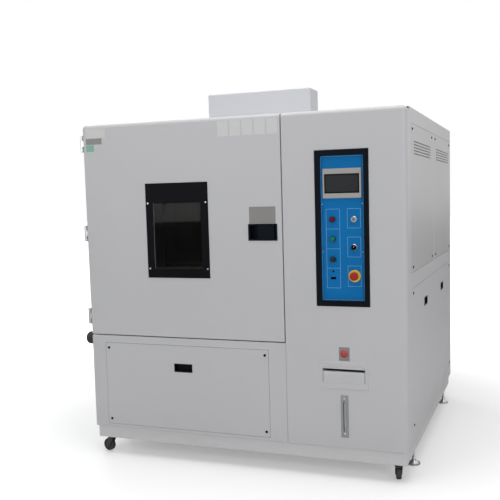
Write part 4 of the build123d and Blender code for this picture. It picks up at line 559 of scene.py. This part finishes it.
# %% Bare plates
FRONT_FACE = 0
BARE_PLATES = [("door_plate_white", (21, 144, 1774, 1822), 0.8, 2, film_white, "door"),
               ("door_plate_grey", (21, 120, 1739, 1771), 0.5, 1.5, film_grey, "door"),
               ("door_plate_green", (21, 70, 1701, 1736), 0.4, 1.5, film_green, "door")]
ROW_COUNT, ROW_LEFT, ROW_PITCH, ROW_WIDTH = 5, 809, 67, 58
for i in range(ROW_COUNT):
    x = ROW_LEFT + ROW_PITCH * i
    BARE_PLATES.append((f"door_plate_{i}", (x, x + ROW_WIDTH, 1745, 1823), 0.4, 3, film_white, "door"))
BARE_PLATES += [("latch_plate", (971, 1114, 1297, 1383), 0.5, 2, film_grey, "door"),
                ("column_plate", (1431, 1486, 610, 679), 0.5, 2, film_grey, "cabinet")]
for name, rect, thick, corner, material, body in BARE_PLATES:
    plate(name, rect, FRONT_FACE, thick, corner, material, body, "grey_coat")
DISC_X, DISC_Z, DISC_R, DISC_BACK, DISC_FRONT = 1458.5, 646, 20, -0.5, -0.75
turned("column_plate_disc", [(DISC_R, DISC_BACK), (DISC_R, DISC_FRONT), (1, DISC_FRONT)], DISC_X, DISC_Z,
       film_red, "cabinet", "grey_coat")
print("bare plates", len(BARE_PLATES), "and a disc")

# %% [markdown]
# Small pan head screws hold the window frame, the blue plate and the level gauge. They
# are all alike, so one Geometry Nodes tree puts a head on every given point. Two crossed
# bars are cut out of each head for the driver.

# %% Screw tree
HEAD_SIDES, HEAD_TOP = 28, 0.72
SLOT_LENGTH, SLOT_WIDTH = 1.1, 0.24


def screw_tree():
    """Points in, cross recessed heads out. The heads face the front, each turned at random."""
    tree = bpy.data.node_groups.new("pan_heads", "GeometryNodeTree")
    face = tree.interface
    face.new_socket("Points", in_out="INPUT", socket_type="NodeSocketGeometry")
    for label, value in (("Radius", 0.004), ("Height", 0.0018)):
        face.new_socket(label, in_out="INPUT", socket_type="NodeSocketFloat").default_value = value
    face.new_socket("Material", in_out="INPUT", socket_type="NodeSocketMaterial")
    face.new_socket("Geometry", in_out="OUTPUT", socket_type="NodeSocketGeometry")
    start, end = tree.nodes.new("NodeGroupInput"), tree.nodes.new("NodeGroupOutput")
    radius, height = start.outputs["Radius"], start.outputs["Height"]
    top = maths(tree, "MULTIPLY", radius, HEAD_TOP)
    head = add(tree, "GeometryNodeMeshCone",
               {"Vertices": HEAD_SIDES, "Radius Top": top, "Radius Bottom": radius, "Depth": height})
    bar = add(tree, "ShaderNodeCombineXYZ",
              {"X": maths(tree, "MULTIPLY", radius, SLOT_LENGTH),
               "Y": maths(tree, "MULTIPLY", radius, SLOT_WIDTH), "Z": height})
    one = add(tree, "GeometryNodeMeshCube", {"Size": bar.outputs[0]})
    lift = add(tree, "ShaderNodeCombineXYZ", {"Z": height})
    along = add(tree, "GeometryNodeTransform",
                {"Geometry": one.outputs["Mesh"], "Translation": lift.outputs[0]})
    across = add(tree, "GeometryNodeTransform",
                 {"Geometry": along.outputs[0], "Rotation": (0, 0, math.pi / 2)})
    first = add(tree, "GeometryNodeMeshBoolean",
                {"Mesh 1": head.outputs["Mesh"], "Mesh 2": along.outputs[0]}, operation="DIFFERENCE")
    both = add(tree, "GeometryNodeMeshBoolean",
               {"Mesh 1": first.outputs[0], "Mesh 2": across.outputs[0]}, operation="DIFFERENCE")
    turn = add(tree, "FunctionNodeRandomValue", {2: 0.0, 3: math.pi, "Seed": 7}, data_type="FLOAT")
    angles = add(tree, "ShaderNodeCombineXYZ", {"X": math.pi / 2, "Y": turn.outputs[1]})
    heads = add(tree, "GeometryNodeInstanceOnPoints",
                {"Points": start.outputs["Points"], "Instance": both.outputs[0],
                 "Rotation": angles.outputs[0]})
    real = add(tree, "GeometryNodeRealizeInstances", {"Geometry": heads.outputs[0]})
    painted = add(tree, "GeometryNodeSetMaterial",
                  {"Geometry": real.outputs[0], "Material": start.outputs["Material"]})
    tree.links.new(painted.outputs[0], end.inputs["Geometry"])
    return tree


heads_tree = screw_tree()
print("screw tree nodes", len(heads_tree.nodes))

# %% [markdown]
# The tree is run on a handful of points for each group of screws, and the result is kept
# as an ordinary mesh, so each group is one piece that can ride on its own body.

# %% Screws
def screws(name, places, radius, height, material, body):
    """One mesh of screw heads at (x, y, z) places in millimetres."""
    mesh = bpy.data.meshes.new(name + "_places")
    mesh.from_pydata([tuple(place(*p)) for p in places], [], [])
    carrier = bpy.data.objects.new(name + "_places", mesh)
    bpy.context.scene.collection.objects.link(carrier)
    modifier = carrier.modifiers.new("heads", "NODES")
    modifier.node_group = heads_tree
    values = {"Radius": radius * MM, "Height": height * MM, "Material": material}
    for item in heads_tree.interface.items_tree:
        if item.item_type == "SOCKET" and item.name in values:
            modifier[item.identifier] = values[item.name]
    carrier.update_tag()
    graph = bpy.context.evaluated_depsgraph_get()
    baked = bpy.data.meshes.new_from_object(carrier.evaluated_get(graph))
    baked.name = name
    bpy.data.objects.remove(carrier)
    made = bpy.data.objects.new(name, baked)
    bpy.context.scene.collection.objects.link(made)
    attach(made, body)
    return made


def grid(columns, face_y, rows):
    """Places row by row, each row from left to right."""
    return [(x, face_y, z) for z in rows for x in columns]


FRAME_FACE, GAUGE_FACE = -3, -2.5
window_heads = screws("window_screws", grid((390, 730), FRAME_FACE, (1412, 1062)), 4.5, 1.6, satin_plate,
                      "door")
plate_heads = screws("plate_screws", grid((1357, 1558), PLATE_FACE, (1388, 1153)), 3.0, 1.6, satin_plate,
                     "cabinet")
gauge_heads = screws("gauge_screws", grid((1456.5,), GAUGE_FACE, (418, 238)), 5.0, 2.0, satin_plate,
                     "cabinet")
print("screw heads", [len(o.data.polygons) for o in (window_heads, plate_heads, gauge_heads)])

# %% [markdown]
# The levelling feet screw into the plinth. Each stem gets its thread: one triangular ridge
# that winds up from the cone of the foot to the jam nut.

# %% Threads on the feet
CONE_TOP, NUT_BOTTOM = 23.0, 83.0
STEM_RADIUS, THREAD_PITCH, RIDGE_HALF, RIDGE_RISE, RIDGE_SINK = 8.0, 2.0, 0.8, 0.6, 0.1


def thread(name, node, bottom=CONE_TOP, top=NUT_BOTTOM, steps=14):
    """A ridge wound round the upright stem of a foot, between two heights in millimetres."""
    low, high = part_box(node)
    x = (low[0] + high[0]) / 2 / MM + LEFT_TO_ORIGIN
    y = (low[1] + high[1]) / 2 / MM + FRONT_TO_ORIGIN
    ridge = ((STEM_RADIUS - RIDGE_SINK, -RIDGE_HALF), (STEM_RADIUS + RIDGE_RISE, 0.0),
             (STEM_RADIUS - RIDGE_SINK, RIDGE_HALF))
    rings = []
    for i in range(int((top - bottom) / THREAD_PITCH * steps) + 1):
        a, z = 2 * math.pi * i / steps, bottom + THREAD_PITCH * i / steps
        rings.append([(x + r * math.cos(a), y + r * math.sin(a), z + rise) for r, rise in ridge])
    return piece(name, *rings_to_mesh(rings), zinc, node, "caster_steel")


for corner in ("front_left", "front_right", "rear_left", "rear_right"):
    wound = thread(f"thread_{corner}", f"foot_{corner}")
print("thread faces", len(wound.data.polygons))

# %% [markdown]
# The selector has a painted pointer along its grip, so that the chosen position can be
# seen from a few steps away.

# %% Pointer on the selector
SELECTOR_X, SELECTOR_Z = 1515.0, 1175.0
KNOB_GAP, KNOB_BASE, GRIP_HEIGHT = 0.3, 4.0, 14.0
GRIP_FRONT = LENS_BASE - KNOB_GAP - KNOB_BASE - GRIP_HEIGHT
POINTER_START, POINTER_END, POINTER_HALF = 2, 9, 0.9
POINTER_TURN = math.radians(45)
outline = ((POINTER_START, -POINTER_HALF), (POINTER_END, -POINTER_HALF),
           (POINTER_END, POINTER_HALF), (POINTER_START, POINTER_HALF))
corners = []
for y in (GRIP_FRONT, GRIP_FRONT - PRINT):
    for along, across in outline:
        corners.append(place(SELECTOR_X + along * math.sin(POINTER_TURN) + across * math.cos(POINTER_TURN),
                             y,
                             SELECTOR_Z + along * math.cos(POINTER_TURN) - across * math.sin(POINTER_TURN)))
box_faces = [(0, 1, 2, 3), (4, 5, 6, 7), (0, 1, 5, 4), (1, 2, 6, 5), (2, 3, 7, 6), (3, 0, 4, 7)]
piece("selector_pointer", corners, box_faces, film_white, "selector_knob", "black_trim")
print("pointer on the selector")

# %% [markdown]
# A large soft light hangs above and in front. Weaker ones fill the front, the right side
# and the back, and one at the front corner brightens the rounded edge of the column. The
# world is white where the camera looks, and a softer grey where it lights the machine.

# %% Lights and world
def soft_light(name, place_m, aim_m, size, power, tint):
    """A square area light aimed at a point, both in metres."""
    lamp = bpy.data.lights.new(name, "AREA")
    lamp.shape, lamp.size, lamp.energy, lamp.color = "SQUARE", size, power, tint
    made = bpy.data.objects.new(name, lamp)
    turn = (Vector(aim_m) - Vector(place_m)).to_track_quat("-Z", "Y")
    made.matrix_world = Matrix.Translation(place_m) @ turn.to_matrix().to_4x4()
    bpy.context.scene.collection.objects.link(made)
    return made


lights = [soft_light("overhead", (0.3, -1.0, 5.2), (0, -0.2, 1.0), 4.5, 165, (1.0, 0.995, 0.99)),
          soft_light("front_fill", (-2.6, -5.5, 2.6), (0, 0, 1.0), 3.0, 50, (0.99, 0.995, 1.0)),
          soft_light("side_fill", (5.6, -0.6, 2.4), (0, 0, 1.0), 3.0, 20, (1.0, 0.985, 0.965)),
          soft_light("corner_fill", (3.8, -4.3, 2.2), (0.6, -0.6, 1.0), 1.2, 48, (1.0, 0.995, 0.985)),
          soft_light("rear_fill", (-4.5, 4.8, 3.0), (0, 0, 1.0), 3.0, 95, (0.99, 0.995, 1.0))]
SEEN_STRENGTH, LIGHTING_STRENGTH = 1.0, 0.26
world = bpy.data.worlds.new("studio")
bpy.context.scene.world = world
world.use_nodes = True
tree = world.node_tree
tree.nodes.clear()
path = add(tree, "ShaderNodeLightPath")
seen = maths(tree, "MAXIMUM", path.outputs["Is Camera Ray"], path.outputs["Is Glossy Ray"])
seen = maths(tree, "MAXIMUM", seen, path.outputs["Is Transmission Ray"])
white = add(tree, "ShaderNodeBackground", {"Color": (1, 1, 1, 1), "Strength": SEEN_STRENGTH})
grey = add(tree, "ShaderNodeBackground", {"Color": (0.97, 0.985, 1.0, 1), "Strength": LIGHTING_STRENGTH})
both = add(tree, "ShaderNodeMixShader", {0: seen, 1: grey.outputs[0], 2: white.outputs[0]})
add(tree, "ShaderNodeOutputWorld", {"Surface": both.outputs[0]})
print("lights", len(lights))

# %% [markdown]
# The machine stands on a plain pale floor. For the camera the floor brightens to white a
# few metres out, so that it has no horizon, and the shadow stays where it belongs.

# %% Floor
floor_mesh = bpy.data.meshes.new("floor")
FLOOR_HALF = 40.0
FADE_START, FADE_END, NEAR_GLOW, FAR_GLOW = 1.2, 3.6, 0.30, 1.0
floor_corners = [(x * FLOOR_HALF, y * FLOOR_HALF, 0) for x, y in ((-1, -1), (1, -1), (1, 1), (-1, 1))]
floor_mesh.from_pydata(floor_corners, [], [(0, 1, 2, 3)])
floor = bpy.data.objects.new("floor", floor_mesh)
bpy.context.scene.collection.objects.link(floor)
pale = bpy.data.materials.new("pale_floor")
pale.use_nodes = True
tree = pale.node_tree
shader = tree.nodes["Principled BSDF"]
shader.inputs["Base Color"].default_value = (0.8, 0.8, 0.8, 1)
shader.inputs["Roughness"].default_value = 0.7
where = add(tree, "ShaderNodeTexCoord").outputs["Object"]
distance = add(tree, "ShaderNodeVectorMath", {0: where}, operation="LENGTH").outputs["Value"]
lift = add(tree, "ShaderNodeMapRange",
           {"Value": distance, 1: FADE_START, 2: FADE_END, 3: NEAR_GLOW, 4: FAR_GLOW},
           interpolation_type="SMOOTHSTEP")
path = add(tree, "ShaderNodeLightPath")
shown = maths(tree, "MULTIPLY", lift.outputs[0], path.outputs["Is Camera Ray"])
tree.links.new(shown, shader.inputs["Emission Strength"])
shader.inputs["Emission Color"].default_value = (1, 1, 1, 1)
floor_mesh.materials.append(pale)
print("floor", FLOOR_HALF * 2, "m")

# %% [markdown]
# The camera stands in front of the machine and to its right, 1.4 m above the floor, with
# a normal lens. Its direction is given by three measured axes.

# %% Camera
RIGHT = Vector((0.93950, 0.34161, -0.02531))
DOWN = Vector((0.00847, -0.09703, -0.99525))
AHEAD = Vector((-0.34244, 0.93482, -0.09406))
CAMERA_PLACE = place(2385.3, -3557.2, 1431)
IMAGE, FOCAL, CENTRE = 500, 748.56, (270.878, 267.586)
lens = bpy.data.cameras.new("camera")
lens.sensor_width = 36.0
lens.lens = FOCAL / IMAGE * lens.sensor_width
lens.shift_x = (IMAGE / 2 - CENTRE[0]) / IMAGE
lens.shift_y = (CENTRE[1] - IMAGE / 2) / IMAGE
lens.clip_end = 200.0
camera = bpy.data.objects.new("camera", lens)
bpy.context.scene.collection.objects.link(camera)
turn = Matrix((RIGHT, -DOWN, -AHEAD)).transposed().to_4x4()
camera.matrix_world = Matrix.Translation(CAMERA_PLACE) @ turn
bpy.context.scene.camera = camera
bpy.context.scene.render.resolution_x = bpy.context.scene.render.resolution_y = IMAGE
bpy.context.scene.view_settings.view_transform = "Standard"
print("camera at", [round(v, 3) for v in camera.location])
